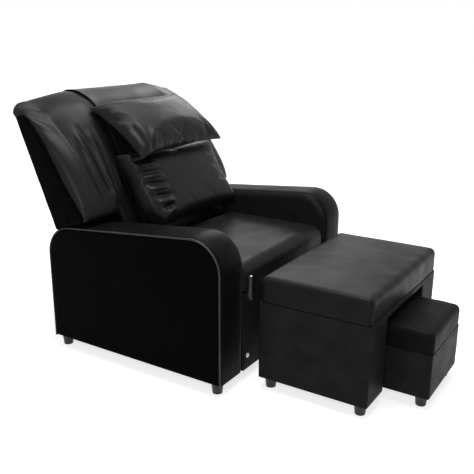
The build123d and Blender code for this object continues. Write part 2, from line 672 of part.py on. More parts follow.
RUNNER_HALF = RUNNER_WIDTH / 2


def runner_outline(distance):
    """The outline that the runner follows, at a distance outside the back."""
    with BuildSketch() as outline:
        with BuildLine():
            Line((BACK_BOTTOM, -BACK_REAR_OFFSET), (BACK_BOTTOM, BACK_PAD_BOTTOM_OUT))
            Line((BACK_BOTTOM, BACK_PAD_BOTTOM_OUT), BACK_PAD_SHOULDER)
            ThreePointArc(BACK_PAD_SHOULDER, BACK_PAD_CREST, BACK_PAD_RIDGE)
            ThreePointArc(BACK_PAD_RIDGE, BACK_ROLL_REAR, BACK_ROLL_END)
            Polyline(BACK_ROLL_END, (RUNNER_LANDING, -BACK_REAR_OFFSET), (BACK_BOTTOM, -BACK_REAR_OFFSET))
        make_face()
        offset(amount=distance)
    return outline.sketch


with BuildPart() as head_runner:
    with BuildSketch(BACK_SIDE.offset(-RUNNER_HALF)):
        add(runner_outline(RUNNER_GAP + RUNNER_THICKNESS))
        add(runner_outline(RUNNER_GAP), mode=Mode.SUBTRACT)
        reach = 2 * BACK_PAD_BOTTOM_OUT
        middle = BACK_PAD_BOTTOM_OUT / 2
        with Locations((RUNNER_FRONT_END, middle)):
            Rectangle(reach, reach, align=(Align.MAX, Align.MIN), mode=Mode.SUBTRACT)
        with Locations((RUNNER_REAR_END, middle)):
            Rectangle(2 * reach, reach, align=(Align.MAX, Align.MAX), mode=Mode.SUBTRACT)
    extrude(amount=RUNNER_WIDTH)
head_runner.part.label = "head_runner"
export_step(head_runner.part, "parts/head_runner.step")

# Head pillow: a lens between two seams, lying on the runner and on the lumbar cushion
PILLOW_RAKE = radians(BACK_RAKE + PILLOW_TILT)
PILLOW_SIDE = Plane(
    origin=BACK_SIDE.from_local_coords((*PILLOW_CENTRE, -PILLOW_WIDTH / 2)),
    x_dir=(0, sin(PILLOW_RAKE), cos(PILLOW_RAKE)),
    z_dir=(1, 0, 0),
)
with BuildPart() as head_pillow:
    with BuildSketch(PILLOW_SIDE):
        with BuildLine():
            half = PILLOW_LENGTH / 2
            ThreePointArc((-half, 0), (0, PILLOW_OVER), (half, 0))
            ThreePointArc((half, 0), (0, -PILLOW_UNDER), (-half, 0))
        make_face()
    extrude(amount=PILLOW_WIDTH)
head_pillow.part.label = "head_pillow"
export_step(head_pillow.part, "parts/head_pillow.step")

LUMBAR_OUT = (BACK_PAD_BOTTOM_OUT + LUMBAR_GAP, BACK_PAD_BOTTOM_OUT + LUMBAR_GAP + LUMBAR_THICKNESS)
with BuildPart() as lumbar_cushion:
    add(back_block((-LUMBAR_WIDTH / 2, LUMBAR_WIDTH / 2), (LUMBAR_BOTTOM, LUMBAR_TOP), LUMBAR_OUT))
    fillet(lumbar_cushion.edges().filter_by(Axis.X), LUMBAR_ROUNDING)
lumbar_cushion.part.label = "lumbar_cushion"
export_step(lumbar_cushion.part, "parts/lumbar_cushion.step")

# Gas strut, from a bracket on the cross rail to a bracket under the back
STRUT_TOP = BACK_SIDE.from_local_coords(Vector(STRUT_TOP_UP, STRUT_TOP_OUT, 0))
STRUT_BASE_Y = FRONT + STRUT_BASE_BEHIND_FRONT
RAIL_SHARE = (STRUT_TOP.Y - STRUT_BASE_Y) / (STRUT_TOP.Y - REAR_RAIL_Y[1])
STRUT_RISE = RAIL_SHARE * (STRUT_TOP.Z - RAIL_BOTTOM + STRUT_UNDER_RAIL)
STRUT_BASE = Vector(0, STRUT_BASE_Y, STRUT_TOP.Z - STRUT_RISE)
STRUT_LENGTH = (STRUT_TOP - STRUT_BASE).length
STRUT_LINE = Plane(origin=STRUT_BASE, x_dir=(1, 0, 0), z_dir=STRUT_TOP - STRUT_BASE)
EAR_X = (STRUT_EYE_THICKNESS / 2 + STRUT_EAR_GAP, STRUT_EYE_THICKNESS / 2 + STRUT_EAR_GAP + STRUT_EAR)
STRUT_PIN_HALF = EAR_X[1] + STRUT_PIN_OVERHANG
EYE_HALF = STRUT_EYE_THICKNESS / 2
CROSS_RAIL_TOP = STRUT_BASE.Z - 2 * STRUT_EAR_RADIUS
CROSS_RAIL_Y = (STRUT_BASE.Y - CROSS_RAIL_WIDTH / 2, STRUT_BASE.Y + CROSS_RAIL_WIDTH / 2)

with BuildPart() as strut_cross_rail:
    add(block((-ARM_INNER, ARM_INNER), CROSS_RAIL_Y, (CROSS_RAIL_TOP - CROSS_RAIL_HEIGHT, CROSS_RAIL_TOP)))
strut_cross_rail.part.label = "strut_cross_rail"
export_step(strut_cross_rail.part, "parts/strut_cross_rail.step")

with BuildPart() as strut_lower_bracket:
    add(block((-STRUT_PIN_HALF - STRUT_EAR_RADIUS, STRUT_PIN_HALF + STRUT_EAR_RADIUS), CROSS_RAIL_Y,
              (CROSS_RAIL_TOP, CROSS_RAIL_TOP + STRUT_EAR)))
    for name, side in SIDES:
        ear_y = (STRUT_BASE.Y - STRUT_EAR_RADIUS, STRUT_BASE.Y + STRUT_EAR_RADIUS)
        add(block(mirrored(side, *EAR_X), ear_y, (CROSS_RAIL_TOP, STRUT_BASE.Z)))
        add(cross_rod(mirrored(side, *EAR_X), STRUT_BASE.Y, STRUT_BASE.Z, STRUT_EAR_RADIUS))
    add(cross_rod((-EAR_X[1], EAR_X[1]), STRUT_BASE.Y, STRUT_BASE.Z, STRUT_PIN_RADIUS), mode=Mode.SUBTRACT)
strut_lower_bracket.part.label = "strut_lower_bracket"
export_step(strut_lower_bracket.part, "parts/strut_lower_bracket.step")

with BuildPart() as strut_lower_pin:
    add(cross_rod((-STRUT_PIN_HALF, STRUT_PIN_HALF), STRUT_BASE.Y, STRUT_BASE.Z, STRUT_PIN_RADIUS))
strut_lower_pin.part.label = "strut_lower_pin"
export_step(strut_lower_pin.part, "parts/strut_lower_pin.step")

with BuildPart() as strut_upper_bracket:
    plate_half = STRUT_PIN_HALF + STRUT_EAR_RADIUS
    add(back_block((-plate_half, plate_half), (BACK_FRAME_BOTTOM - STRUT_EAR, BACK_FRAME_BOTTOM), BACK_RAIL_OUT))
    for name, side in SIDES:
        ear_up = (STRUT_TOP_UP - STRUT_EAR_RADIUS, STRUT_TOP_UP + STRUT_EAR_RADIUS)
        add(back_block(mirrored(side, *EAR_X), ear_up, (STRUT_TOP_OUT, BACK_RAIL_OUT[1])))
        add(cross_rod(mirrored(side, *EAR_X), STRUT_TOP.Y, STRUT_TOP.Z, STRUT_EAR_RADIUS))
    add(cross_rod((-EAR_X[1], EAR_X[1]), STRUT_TOP.Y, STRUT_TOP.Z, STRUT_PIN_RADIUS), mode=Mode.SUBTRACT)
strut_upper_bracket.part.label = "strut_upper_bracket"
export_step(strut_upper_bracket.part, "parts/strut_upper_bracket.step")

with BuildPart() as strut_upper_pin:
    add(cross_rod((-STRUT_PIN_HALF, STRUT_PIN_HALF), STRUT_TOP.Y, STRUT_TOP.Z, STRUT_PIN_RADIUS))
strut_upper_pin.part.label = "strut_upper_pin"
export_step(strut_upper_pin.part, "parts/strut_upper_pin.step")

TUBE_START = STRUT_EAR_RADIUS + STRUT_WALL
with BuildPart() as strut_cylinder:
    add(cross_rod((-EYE_HALF, EYE_HALF), STRUT_BASE.Y, STRUT_BASE.Z, STRUT_EYE_RADIUS))
    add(rod(STRUT_LINE, EYE_HALF, TUBE_START))
    add(rod(STRUT_LINE.offset(TUBE_START), STRUT_RADIUS, STRUT_CYLINDER_LENGTH - TUBE_START))
    add(rod(STRUT_LINE.offset(TUBE_START + STRUT_WALL), STRUT_RADIUS - STRUT_WALL,
            STRUT_CYLINDER_LENGTH - TUBE_START - STRUT_WALL - STRUT_PISTON), mode=Mode.SUBTRACT)
    add(rod(STRUT_LINE.offset(STRUT_CYLINDER_LENGTH - STRUT_PISTON), STRUT_ROD_RADIUS + RUNNING_CLEARANCE,
            STRUT_PISTON), mode=Mode.SUBTRACT)
    add(cross_rod((-EYE_HALF, EYE_HALF), STRUT_BASE.Y, STRUT_BASE.Z, STRUT_PIN_RADIUS + RUNNING_CLEARANCE),
        mode=Mode.SUBTRACT)
strut_cylinder.part.label = "strut_cylinder"
export_step(strut_cylinder.part, "parts/strut_cylinder.step")

ROD_START = STRUT_CYLINDER_LENGTH - STRUT_ROD_INSERTION
OPEN_EYE = STRUT_PIN_RADIUS + STRUT_OPEN_EYE_CLEARANCE
with BuildPart() as strut_rod:
    add(rod(STRUT_LINE.offset(ROD_START), STRUT_ROD_RADIUS,
            STRUT_LENGTH - ROD_START - OPEN_EYE - STRUT_ROD_RADIUS / 2))
    add(rod(STRUT_LINE.offset(ROD_START), STRUT_RADIUS - STRUT_WALL - RUNNING_CLEARANCE, STRUT_PISTON))
    add(cross_rod((-EYE_HALF, EYE_HALF), STRUT_TOP.Y, STRUT_TOP.Z, STRUT_OPEN_EYE_RADIUS))
    add(cross_rod((-EYE_HALF, EYE_HALF), STRUT_TOP.Y, STRUT_TOP.Z, OPEN_EYE), mode=Mode.SUBTRACT)
strut_rod.part.label = "strut_rod"
export_step(strut_rod.part, "parts/strut_rod.step")

# Release lever and cap on the apron, at the sitter's right
APRON_FACE = FRONT + BASE_PANEL_SETBACK
LEVER_X = -LEVER_SIDE
LEVER_Y = APRON_FACE - LEVER_STAND_OFF
LEVER_HALF = LEVER_THICKNESS / 2
CHEEK = (LEVER_HALF + LEVER_CHEEK_GAP, LEVER_HALF + LEVER_CHEEK_GAP + LEVER_CHEEK)

with BuildPart() as lever_bracket:
    low = LEVER_PIVOT_HEIGHT - LEVER_BASE_HEIGHT / 2
    plate_y = (APRON_FACE - LEVER_BASE_PLATE, APRON_FACE)
    add(block((LEVER_X - CHEEK[1], LEVER_X + CHEEK[1]), plate_y, (low, low + LEVER_BASE_HEIGHT)))
    for name, side in SIDES:
        inner, outer = mirrored(side, *CHEEK)
        cheek_x = (LEVER_X + inner, LEVER_X + outer)
        cheek_z = (LEVER_PIVOT_HEIGHT - LEVER_WIDTH / 2, LEVER_PIVOT_HEIGHT + LEVER_WIDTH / 2)
        add(block(cheek_x, (LEVER_Y, APRON_FACE), cheek_z))
        add(cross_rod(cheek_x, LEVER_Y, LEVER_PIVOT_HEIGHT, LEVER_WIDTH / 2))
    add(cross_rod((LEVER_X - CHEEK[1], LEVER_X + CHEEK[1]), LEVER_Y, LEVER_PIVOT_HEIGHT, LEVER_PIN_RADIUS))
lever_bracket.part.label = "lever_bracket"
export_step(lever_bracket.part, "parts/lever_bracket.step")

with BuildPart() as release_lever:
    with BuildSketch(Plane.YZ.offset(LEVER_X - LEVER_HALF)):
        with Locations((LEVER_Y, LEVER_PIVOT_HEIGHT + (LEVER_LENGTH - LEVER_WIDTH / 2) / 2)):
            SlotCenterToCenter(LEVER_LENGTH - LEVER_WIDTH / 2, LEVER_WIDTH, rotation=90)
        with Locations((LEVER_Y, LEVER_PIVOT_HEIGHT)):
            Circle(LEVER_PIN_RADIUS + RUNNING_CLEARANCE, mode=Mode.SUBTRACT)
    extrude(amount=LEVER_THICKNESS)
release_lever.part.label = "release_lever"
export_step(release_lever.part, "parts/release_lever.step")

with BuildPart() as apron_cap:
    face = Plane(origin=(LEVER_X, APRON_FACE, CAP_HEIGHT), x_dir=(1, 0, 0), z_dir=(0, -1, 0))
    add(rod(face, CAP_RADIUS, CAP_THICKNESS))
    fillet(apron_cap.edges().sort_by(Axis.Y)[0], CAP_THICKNESS / 2)
apron_cap.part.label = "apron_cap"
export_step(apron_cap.part, "parts/apron_cap.step")

# Ottoman
OTTOMAN_HALF = OTTOMAN_WIDTH / 2
BAY_HALF = OTTOMAN_HALF - OTTOMAN_SIDE_WIDTH
OTTOMAN_Y = (OTTOMAN_FRONT, OTTOMAN_BACK)
OTTOMAN_SEAM = OTTOMAN_HEIGHT - OTTOMAN_CUSHION
OTTOMAN_BODY_Z = (FOOT_HEIGHT, OTTOMAN_SEAM - OTTOMAN_TOP_BOARD)


def case(x, y, z, wall):
    """Four walls, open at the top and at the bottom."""
    with BuildPart() as walls:
        add(block(x, y, z))
        add(block((x[0] + wall, x[1] - wall), (y[0] + wall, y[1] - wall), z), mode=Mode.SUBTRACT)
    return walls.part


def cushion(half, y, z):
    """A box cushion with its upper edges rounded."""
    with BuildPart() as pad:
        add(block((-half, half), y, z))
        fillet(pad.edges().group_by(Axis.Z)[-1], CUSHION_ROUNDING)
    return pad.part


for name, side in SIDES:
    with BuildPart() as ottoman_side:
        add(case(mirrored(side, BAY_HALF, OTTOMAN_HALF), OTTOMAN_Y, OTTOMAN_BODY_Z, OTTOMAN_WALL))
    ottoman_side.part.label = f"ottoman_side_{name}"
    export_step(ottoman_side.part, f"parts/ottoman_side_{name}.step")

with BuildPart() as ottoman_rear_panel:
    add(block((-BAY_HALF, BAY_HALF), (OTTOMAN_BACK - OTTOMAN_REAR_PANEL, OTTOMAN_BACK), OTTOMAN_BODY_Z))
ottoman_rear_panel.part.label = "ottoman_rear_panel"
export_step(ottoman_rear_panel.part, "parts/ottoman_rear_panel.step")

with BuildPart() as ottoman_top_board:
    add(block((-OTTOMAN_HALF, OTTOMAN_HALF), OTTOMAN_Y, (OTTOMAN_BODY_Z[1], OTTOMAN_SEAM)))
ottoman_top_board.part.label = "ottoman_top_board"
export_step(ottoman_top_board.part, "parts/ottoman_top_board.step")

with BuildPart() as ottoman_cushion:
    add(cushion(OTTOMAN_HALF, OTTOMAN_Y, (OTTOMAN_SEAM, OTTOMAN_HEIGHT)))
ottoman_cushion.part.label = "ottoman_cushion"
export_step(ottoman_cushion.part, "parts/ottoman_cushion.step")

with BuildPart() as ottoman_feet:
    add(glides(corner_places(OTTOMAN_HALF, OTTOMAN_FRONT, OTTOMAN_BACK)))
ottoman_feet.part.label = "ottoman_feet"
export_step(ottoman_feet.part, "parts/ottoman_feet.step")

# Foot stool
STOOL_HALF = STOOL_WIDTH / 2
STOOL_Y = (STOOL_FRONT, STOOL_FRONT + STOOL_DEPTH)
STOOL_SEAM = STOOL_HEIGHT - STOOL_CUSHION
STOOL_BODY_Z = (FOOT_HEIGHT, STOOL_SEAM - STOOL_TOP_BOARD)

with BuildPart() as stool_case:
    add(case((-STOOL_HALF, STOOL_HALF), STOOL_Y, STOOL_BODY_Z, STOOL_WALL))
stool_case.part.label = "stool_case"
export_step(stool_case.part, "parts/stool_case.step")

with BuildPart() as stool_top_board:
    add(block((-STOOL_HALF, STOOL_HALF), STOOL_Y, (STOOL_BODY_Z[1], STOOL_SEAM)))
stool_top_board.part.label = "stool_top_board"
export_step(stool_top_board.part, "parts/stool_top_board.step")

with BuildPart() as stool_cushion:
    add(cushion(STOOL_HALF, STOOL_Y, (STOOL_SEAM, STOOL_HEIGHT)))
stool_cushion.part.label = "stool_cushion"
export_step(stool_cushion.part, "parts/stool_cushion.step")

with BuildPart() as stool_feet:
    add(glides(corner_places(STOOL_HALF, *STOOL_Y)))
stool_feet.part.label = "stool_feet"
export_step(stool_feet.part, "parts/stool_feet.step")
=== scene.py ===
import math

import bpy
import numpy as np
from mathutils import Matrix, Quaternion, Vector


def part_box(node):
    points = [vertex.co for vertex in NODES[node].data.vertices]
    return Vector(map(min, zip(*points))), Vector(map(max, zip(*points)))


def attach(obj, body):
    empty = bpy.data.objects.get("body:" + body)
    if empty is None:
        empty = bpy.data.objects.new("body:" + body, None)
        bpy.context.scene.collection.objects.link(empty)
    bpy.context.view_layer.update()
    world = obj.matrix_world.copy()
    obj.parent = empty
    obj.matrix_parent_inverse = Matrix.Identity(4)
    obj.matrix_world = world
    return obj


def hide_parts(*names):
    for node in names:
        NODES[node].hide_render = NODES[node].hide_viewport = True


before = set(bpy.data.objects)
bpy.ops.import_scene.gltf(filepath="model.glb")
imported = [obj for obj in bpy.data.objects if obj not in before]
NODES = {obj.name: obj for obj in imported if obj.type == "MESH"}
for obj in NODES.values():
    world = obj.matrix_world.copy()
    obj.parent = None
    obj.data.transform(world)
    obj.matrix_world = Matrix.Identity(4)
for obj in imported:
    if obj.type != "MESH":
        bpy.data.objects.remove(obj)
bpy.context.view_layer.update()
SIDES = (("right", -1.0), ("left", 1.0))

# All sizes are in metres, and all angles are kept in radians


# Camera and light

CAMERA_AZIMUTH = math.radians(-57.66)
CAMERA_ELEVATION = math.radians(16.88)
CAMERA_ROLL = math.radians(0.27)
CAMERA_PLACE = (-2.1999, -1.3178, 1.2173)
CAMERA_LENS = 51.57
CAMERA_SENSOR = 36
WORLD_LIGHT = 0.30
FLOOR_HALF = 30.0
FLOOR_PAINT = 0.62
GLOW_DISTANCES = (1.2, 3.2)
GLOW_LEVELS = (0.72, 1.0)
LAMPS = (
    ("overhead", (0.15, 0.0, 3.3), (0, 0, 0.4), 2.0, 95),
    ("side_fill", (-3.6, -1.3, 2.2), (0, 0, 0.5), 1.3, 40),
    ("rim_light", (3.0, 1.5, 2.6), (0, 0, 0.6), 1.5, 22),
)


def link_object(name, data):
    """An object with its data, linked to the scene."""
    made = bpy.data.objects.new(name, data)
    bpy.context.scene.collection.objects.link(made)
    return made


def add_node(tree, kind, sockets=(), **settings):
    """A shader node with its own settings. Each of its named input sockets gets a value or a link."""
    made = tree.nodes.new(kind)
    for key, value in settings.items():
        setattr(made, key, value)
    for key, value in dict(sockets).items():
        if isinstance(value, bpy.types.NodeSocket):
            tree.links.new(value, made.inputs[key])
        else:
            made.inputs[key].default_value = value
    return made


def grey(level):
    return (level, level, level, 1.0)


def make_camera():
    """A camera in front of the sitter's right corner, looking a little down."""
    level = math.cos(CAMERA_ELEVATION)
    back = Vector((math.sin(CAMERA_AZIMUTH) * level, -math.cos(CAMERA_AZIMUTH) * level,
                   math.sin(CAMERA_ELEVATION)))
    camera = link_object("camera", bpy.data.cameras.new("camera"))
    camera.rotation_mode = "QUATERNION"
    camera.rotation_quaternion = (-back).to_track_quat("-Z", "Y") @ Quaternion((0, 0, 1), CAMERA_ROLL)
    camera.location = CAMERA_PLACE
    camera.data.lens = CAMERA_LENS
    camera.data.sensor_width = CAMERA_SENSOR
    bpy.context.scene.camera = camera


def make_lamp(name, place, target, size, power):
    """A square area lamp at a place, turned to a target."""
    lamp = bpy.data.lights.new(name, "AREA")
    lamp.shape = "SQUARE"
    lamp.size = size
    lamp.energy = power
    box = link_object(name, lamp)
    box.location = place
    box.rotation_mode = "QUATERNION"
    box.rotation_quaternion = (Vector(target) - Vector(place)).to_track_quat("-Z", "Y")


def seen_directly(tree):
    """1 for rays from the camera, a glossy surface or a clear one, and 0 for the rest."""
    path = add_node(tree, "ShaderNodeLightPath").outputs
    first = add_node(tree, "ShaderNodeMath", {0: path["Is Camera Ray"], 1: path["Is Glossy Ray"]},
                     operation="MAXIMUM")
    both = add_node(tree, "ShaderNodeMath", {0: first.outputs[0], 1: path["Is Transmission Ray"]},
                    operation="MAXIMUM")
    return both.outputs[0]


def mixed_when_seen(tree, hidden, seen):
    """The shader seen where it is seen directly, and the shader hidden for all other rays."""
    sockets = {0: seen_directly(tree), 1: hidden.outputs[0], 2: seen.outputs[0]}
    return add_node(tree, "ShaderNodeMixShader", sockets).outputs[0]


def make_world():
    """White where it is seen, a soft grey where it lights."""
    world = bpy.data.worlds.new("studio")
    bpy.context.scene.world = world
    world.use_nodes = True
    tree = world.node_tree
    tree.nodes.clear()
    lighting = add_node(tree, "ShaderNodeBackground", {"Color": grey(1.0), "Strength": WORLD_LIGHT})
    white = add_node(tree, "ShaderNodeBackground", {"Color": grey(1.0), "Strength": 1.0})
    add_node(tree, "ShaderNodeOutputWorld", {"Surface": mixed_when_seen(tree, lighting, white)})


def make_floor():
    """A wide pale floor under the feet: lit paint, and where it is seen also a glow that grows with the distance
    from the middle of the object."""
    half = FLOOR_HALF
    mesh = bpy.data.meshes.new("floor")
    corners = [(-half, -half, 0), (half, -half, 0), (half, half, 0), (-half, half, 0)]
    mesh.from_pydata(corners, [], [(0, 1, 2, 3)])
    paint = bpy.data.materials.new("pale_floor")
    paint.use_nodes = True
    tree = paint.node_tree
    tree.nodes.clear()
    place = add_node(tree, "ShaderNodeTexCoord").outputs["Object"]
    away = add_node(tree, "ShaderNodeVectorMath", {0: place}, operation="LENGTH").outputs["Value"]
    rise = add_node(tree, "ShaderNodeMapRange", {
        "Value": away, "From Min": GLOW_DISTANCES[0], "From Max": GLOW_DISTANCES[1],
        "To Min": GLOW_LEVELS[0], "To Max": GLOW_LEVELS[1]}).outputs["Result"]
    lit = add_node(tree, "ShaderNodeBsdfDiffuse", {"Color": grey(FLOOR_PAINT)})
    glow = add_node(tree, "ShaderNodeEmission", {"Color": grey(1.0), "Strength": rise})
    both = add_node(tree, "ShaderNodeAddShader", {0: lit.outputs[0], 1: glow.outputs[0]})
    add_node(tree, "ShaderNodeOutputMaterial", {"Surface": mixed_when_seen(tree, lit, both)})
    mesh.materials.append(paint)
    link_object("floor", mesh)


make_camera()
make_world()
make_floor()
for lamp in LAMPS:
    make_lamp(*lamp)


# Finishes

NOISE_LOW, NOISE_HIGH = 0.3, 0.7
GRAIN_SCALE = 760.0
GRAIN_DEPTH = 0.00007
PORE_DEPTH = 0.00009
TOOL_TEXTURE_DEPTH = 0.00004
WOOD_PORE_DEPTH = 0.0003
RIB_DEPTH = 0.0003
WAVE_PERIOD = 0.314


def blank_finish(name):
    """A new material, its node tree and its Principled shader."""
    finish = bpy.data.materials.new(name)
    finish.use_nodes = True
    tree = finish.node_tree
    return finish, tree, tree.nodes["Principled BSDF"]


def object_place(tree):
    return add_node(tree, "ShaderNodeTexCoord").outputs["Object"]


def noise_at(tree, scale, detail=2.0, distortion=0.0, stretch=None):
    """Noise on Object coordinates, stretched along an axis if asked."""
    place = object_place(tree)
    if stretch is not None:
        place = add_node(tree, "ShaderNodeMapping", {"Vector": place, "Scale": stretch}).outputs["Vector"]
    return add_node(tree, "ShaderNodeTexNoise", {
        "Vector": place, "Scale": scale, "Detail": detail, "Distortion": distortion}).outputs["Fac"]


def ranged(tree, value, low, high):
    """A noise value spread between two levels."""
    return add_node(tree, "ShaderNodeMapRange", {
        "Value": value, "From Min": NOISE_LOW, "From Max": NOISE_HIGH, "To Min": low, "To Max": high,
    }).outputs["Result"]


def two_tone(tree, value, dark, light):
    """A colour between two, by a noise value."""
    ramp = add_node(tree, "ShaderNodeValToRGB", {"Fac": value})
    for element, position, colour in zip(ramp.color_ramp.elements, (NOISE_LOW, NOISE_HIGH), (dark, light)):
        element.position = position
        element.color = colour
    return ramp.outputs["Color"]


def raised(tree, shader, heights):
    """Bump from several heights, each with its depth in metres."""
    normal = None
    for value, depth in heights:
        sockets = {"Strength": 1.0, "Distance": depth, "Height": value}
        if normal is not None:
            sockets["Normal"] = normal
        normal = add_node(tree, "ShaderNodeBump", sockets).outputs["Normal"]
    tree.links.new(normal, shader.inputs["Normal"])


def leatherette(name, shade, specular, roughness, creasing=0.0006):
    """Black coated fabric: pebbled grain of about 1.3 mm cells, fine pores, faint creases and worn gloss."""
    finish, tree, shader = blank_finish(name)
    shader.inputs["Specular IOR Level"].default_value = specular
    tone = two_tone(tree, noise_at(tree, 14.0, 4.0), grey(shade * 0.8), grey(shade * 1.25))
    tree.links.new(tone, shader.inputs["Base Color"])
    wear = noise_at(tree, 9.0, 5.0, 0.4)
    tree.links.new(ranged(tree, wear, roughness - 0.05, roughness + 0.06), shader.inputs["Roughness"])
    cells = add_node(tree, "ShaderNodeTexVoronoi", {"Vector": object_place(tree)}, feature="SMOOTH_F1")
    cells.inputs["Scale"].default_value = GRAIN_SCALE
    raised(tree, shader, [
        (noise_at(tree, 26.0, 3.0, 0.6), creasing),
        (noise_at(tree, 240.0, 3.0), PORE_DEPTH),
        (cells.outputs["Distance"], GRAIN_DEPTH),
    ])
    return finish


def metal(name, colour, roughness, brushing):
    """Metal with a fine directional finish and uneven gloss."""
    finish, tree, shader = blank_finish(name)
    shader.inputs["Metallic"].default_value = 1.0
    lines = noise_at(tree, 220.0, 3.0, 0.0, (1.0, 1.0, 8.0))
    dark = tuple(c * 0.85 for c in colour) + (1.0,)
    tone = two_tone(tree, noise_at(tree, 30.0, 4.0), dark, colour + (1.0,))
    tree.links.new(tone, shader.inputs["Base Color"])
    tree.links.new(ranged(tree, lines, roughness * 0.8, roughness * 1.3), shader.inputs["Roughness"])
    raised(tree, shader, [(lines, brushing)])
    return finish


def moulded(name, shade, roughness):
    """Moulded plastic with a fine texture from the tool."""
    finish, tree, shader = blank_finish(name)
    shader.inputs["Specular IOR Level"].default_value = 0.4
    mottle = noise_at(tree, 60.0, 4.0)
    tone = two_tone(tree, mottle, grey(shade * 0.85), grey(shade * 1.15))
    tree.links.new(tone, shader.inputs["Base Color"])
    tree.links.new(ranged(tree, mottle, roughness - 0.06, roughness + 0.06), shader.inputs["Roughness"])
    raised(tree, shader, [(noise_at(tree, 900.0, 2.0), TOOL_TEXTURE_DEPTH)])
    return finish


def timber(name, pale, dark, grain):
    """Dark wood with growth lines stretched by its grain, and open pores; it is kept dark as painted shade, so that
    frame seen through the gaps reads as the shade there.
    """
    finish, tree, shader = blank_finish(name)
    lines = noise_at(tree, 18.0, 6.0, 1.2, grain)
    tree.links.new(two_tone(tree, lines, dark + (1.0,), pale + (1.0,)), shader.inputs["Base Color"])
    shader.inputs["Specular IOR Level"].default_value = 0.3
    tree.links.new(ranged(tree, lines, 0.55, 0.75), shader.inputs["Roughness"])
    raised(tree, shader, [(lines, WOOD_PORE_DEPTH)])
    return finish


def woven(name, shade, pitch):
    """Black cloth of crossed threads, one rib to each pitch."""
    finish, tree, shader = blank_finish(name)
    shader.inputs["Specular IOR Level"].default_value = 0.15
    place = object_place(tree)
    threads = [add_node(tree, "ShaderNodeTexWave", {
        "Vector": place, "Scale": WAVE_PERIOD / pitch, "Distortion": 0.3}, bands_direction=direction)
        for direction in ("X", "Z")]
    ribs = add_node(tree, "ShaderNodeMath", {k: thread.outputs["Fac"] for k, thread in enumerate(threads)},
                    operation="MULTIPLY").outputs[0]
    tree.links.new(two_tone(tree, ribs, grey(shade * 0.5), grey(shade)), shader.inputs["Base Color"])
    tree.links.new(ranged(tree, noise_at(tree, 50.0), 0.75, 0.9), shader.inputs["Roughness"])
    raised(tree, shader, [(ribs, RIB_DEPTH)])
    return finish


# Each finish: its maker and what it takes after its name
FINISH_VALUES = {
    "seat_leather": (leatherette, 0.009, 0.06, 0.38),
    "back_leather": (leatherette, 0.008, 0.12, 0.36, 0.0009),
    "pillow_leather": (leatherette, 0.008, 0.11, 0.34, 0.0009),
    "panel_leather": (leatherette, 0.0135, 0.035, 0.46),
    "shaded_leather": (leatherette, 0.006, 0.03, 0.44),
    # painted shade: a near-black copy of the leather for the outer sides of the arms and wings
    "side_leather": (leatherette, 0.0014, 0.012, 0.55, 0.0003),
    # painted light: a lighter copy of the leather for the inner faces of the arms
    "inner_leather": (leatherette, 0.012, 0.05, 0.44),
    # painted shade: a dark copy of the leather for the top and front band of the arms
    "band_leather": (leatherette, 0.004, 0.035, 0.42),
    "welt_leather": (leatherette, 0.014, 0.35, 0.38, 0.0001),
    "zinc_steel": (metal, (0.62, 0.63, 0.65), 0.35, 0.00003),
    "black_steel": (metal, (0.06, 0.06, 0.065), 0.42, 0.00003),
    "chrome": (metal, (0.86, 0.87, 0.88), 0.30, 0.000005),
    "nylon": (moulded, 0.55, 0.45),
    "black_plastic": (moulded, 0.012, 0.38),
    # painted shade: both woods are kept dark so that frame seen through the gaps reads as the shade there
    "plywood": (timber, (0.050, 0.036, 0.024), (0.028, 0.019, 0.012), (1.0, 0.25, 4.0)),
    "hardwood": (timber, (0.034, 0.024, 0.016), (0.016, 0.011, 0.007), (0.3, 4.0, 4.0)),
    "woven_black": (woven, 0.02, 0.0012),
}
FINISH = {name: make(name, *values) for name, (make, *values) in FINISH_VALUES.items()}


# Surfaces

SPACING = 0.012
DOME_POWER = 2.6
FACE_CROWDING = 0.8
SMALLEST_RADIUS = 0.0002
FOLD_END = 0.04
RIPPLE_GAIN = 1.6


def unit(vectors):
    return vectors / np.maximum(np.linalg.norm(vectors, axis=-1, keepdims=True), 1e-12)


def tailored_outline(corners, radii, inset=0.0, spacing=SPACING, turn=8):
    """A closed outline of points (n, 2) round a polygon. Each side is moved in by inset, and at each corner is an
    arc tangent to both sides, of the corner's radius less the inset. The count of points does not depend on
    inset."""
    corner = np.asarray(corners, float)
    following = np.roll(corner, -1, 0)
    if np.sum(corner[:, 0] * following[:, 1] - corner[:, 1] * following[:, 0]) < 0:
        corner = corner[::-1]
        radii = tuple(radii)[::-1]
    arriving = unit(corner - np.roll(corner, 1, 0))
    leaving = np.roll(arriving, -1, 0)
    inward_before = np.stack([-arriving[:, 1], arriving[:, 0]], -1)
    inward_after = np.stack([-leaving[:, 1], leaving[:, 0]], -1)
    cosine = np.sum(inward_before * inward_after, -1, keepdims=True)
    moved = corner + inset * (inward_before + inward_after) / (1 + cosine)
    turning = np.arctan2(arriving[:, 0] * leaving[:, 1] - arriving[:, 1] * leaving[:, 0], cosine[:, 0])
    radius = np.maximum(np.asarray(radii, float) - inset, SMALLEST_RADIUS)
    start = moved - arriving * (radius * np.tan(turning / 2))[:, None]
    centre = start + inward_before * radius[:, None]
    first = np.arctan2(*(start - centre)[:, ::-1].T)
    angle = first[:, None] + turning[:, None] * np.linspace(0, 1, turn + 1)
    arcs = centre[:, None] + radius[:, None, None] * np.stack([np.cos(angle), np.sin(angle)], -1)
    parts = []
    for k in range(len(corner)):
        after = (k + 1) % len(corner)
        count = max(2, math.ceil(np.linalg.norm(corner[after] - corner[k]) / spacing))
        share = np.linspace(0, 1, count + 1)[1:-1, None]
        parts += [arcs[k], arcs[k, -1] + share * (arcs[after, 0] - arcs[k, -1])]
    return np.concatenate(parts)


def rectangle(low, high):
    return [(low[0], low[1]), (high[0], low[1]), (high[0], high[1]), (low[0], high[1])]


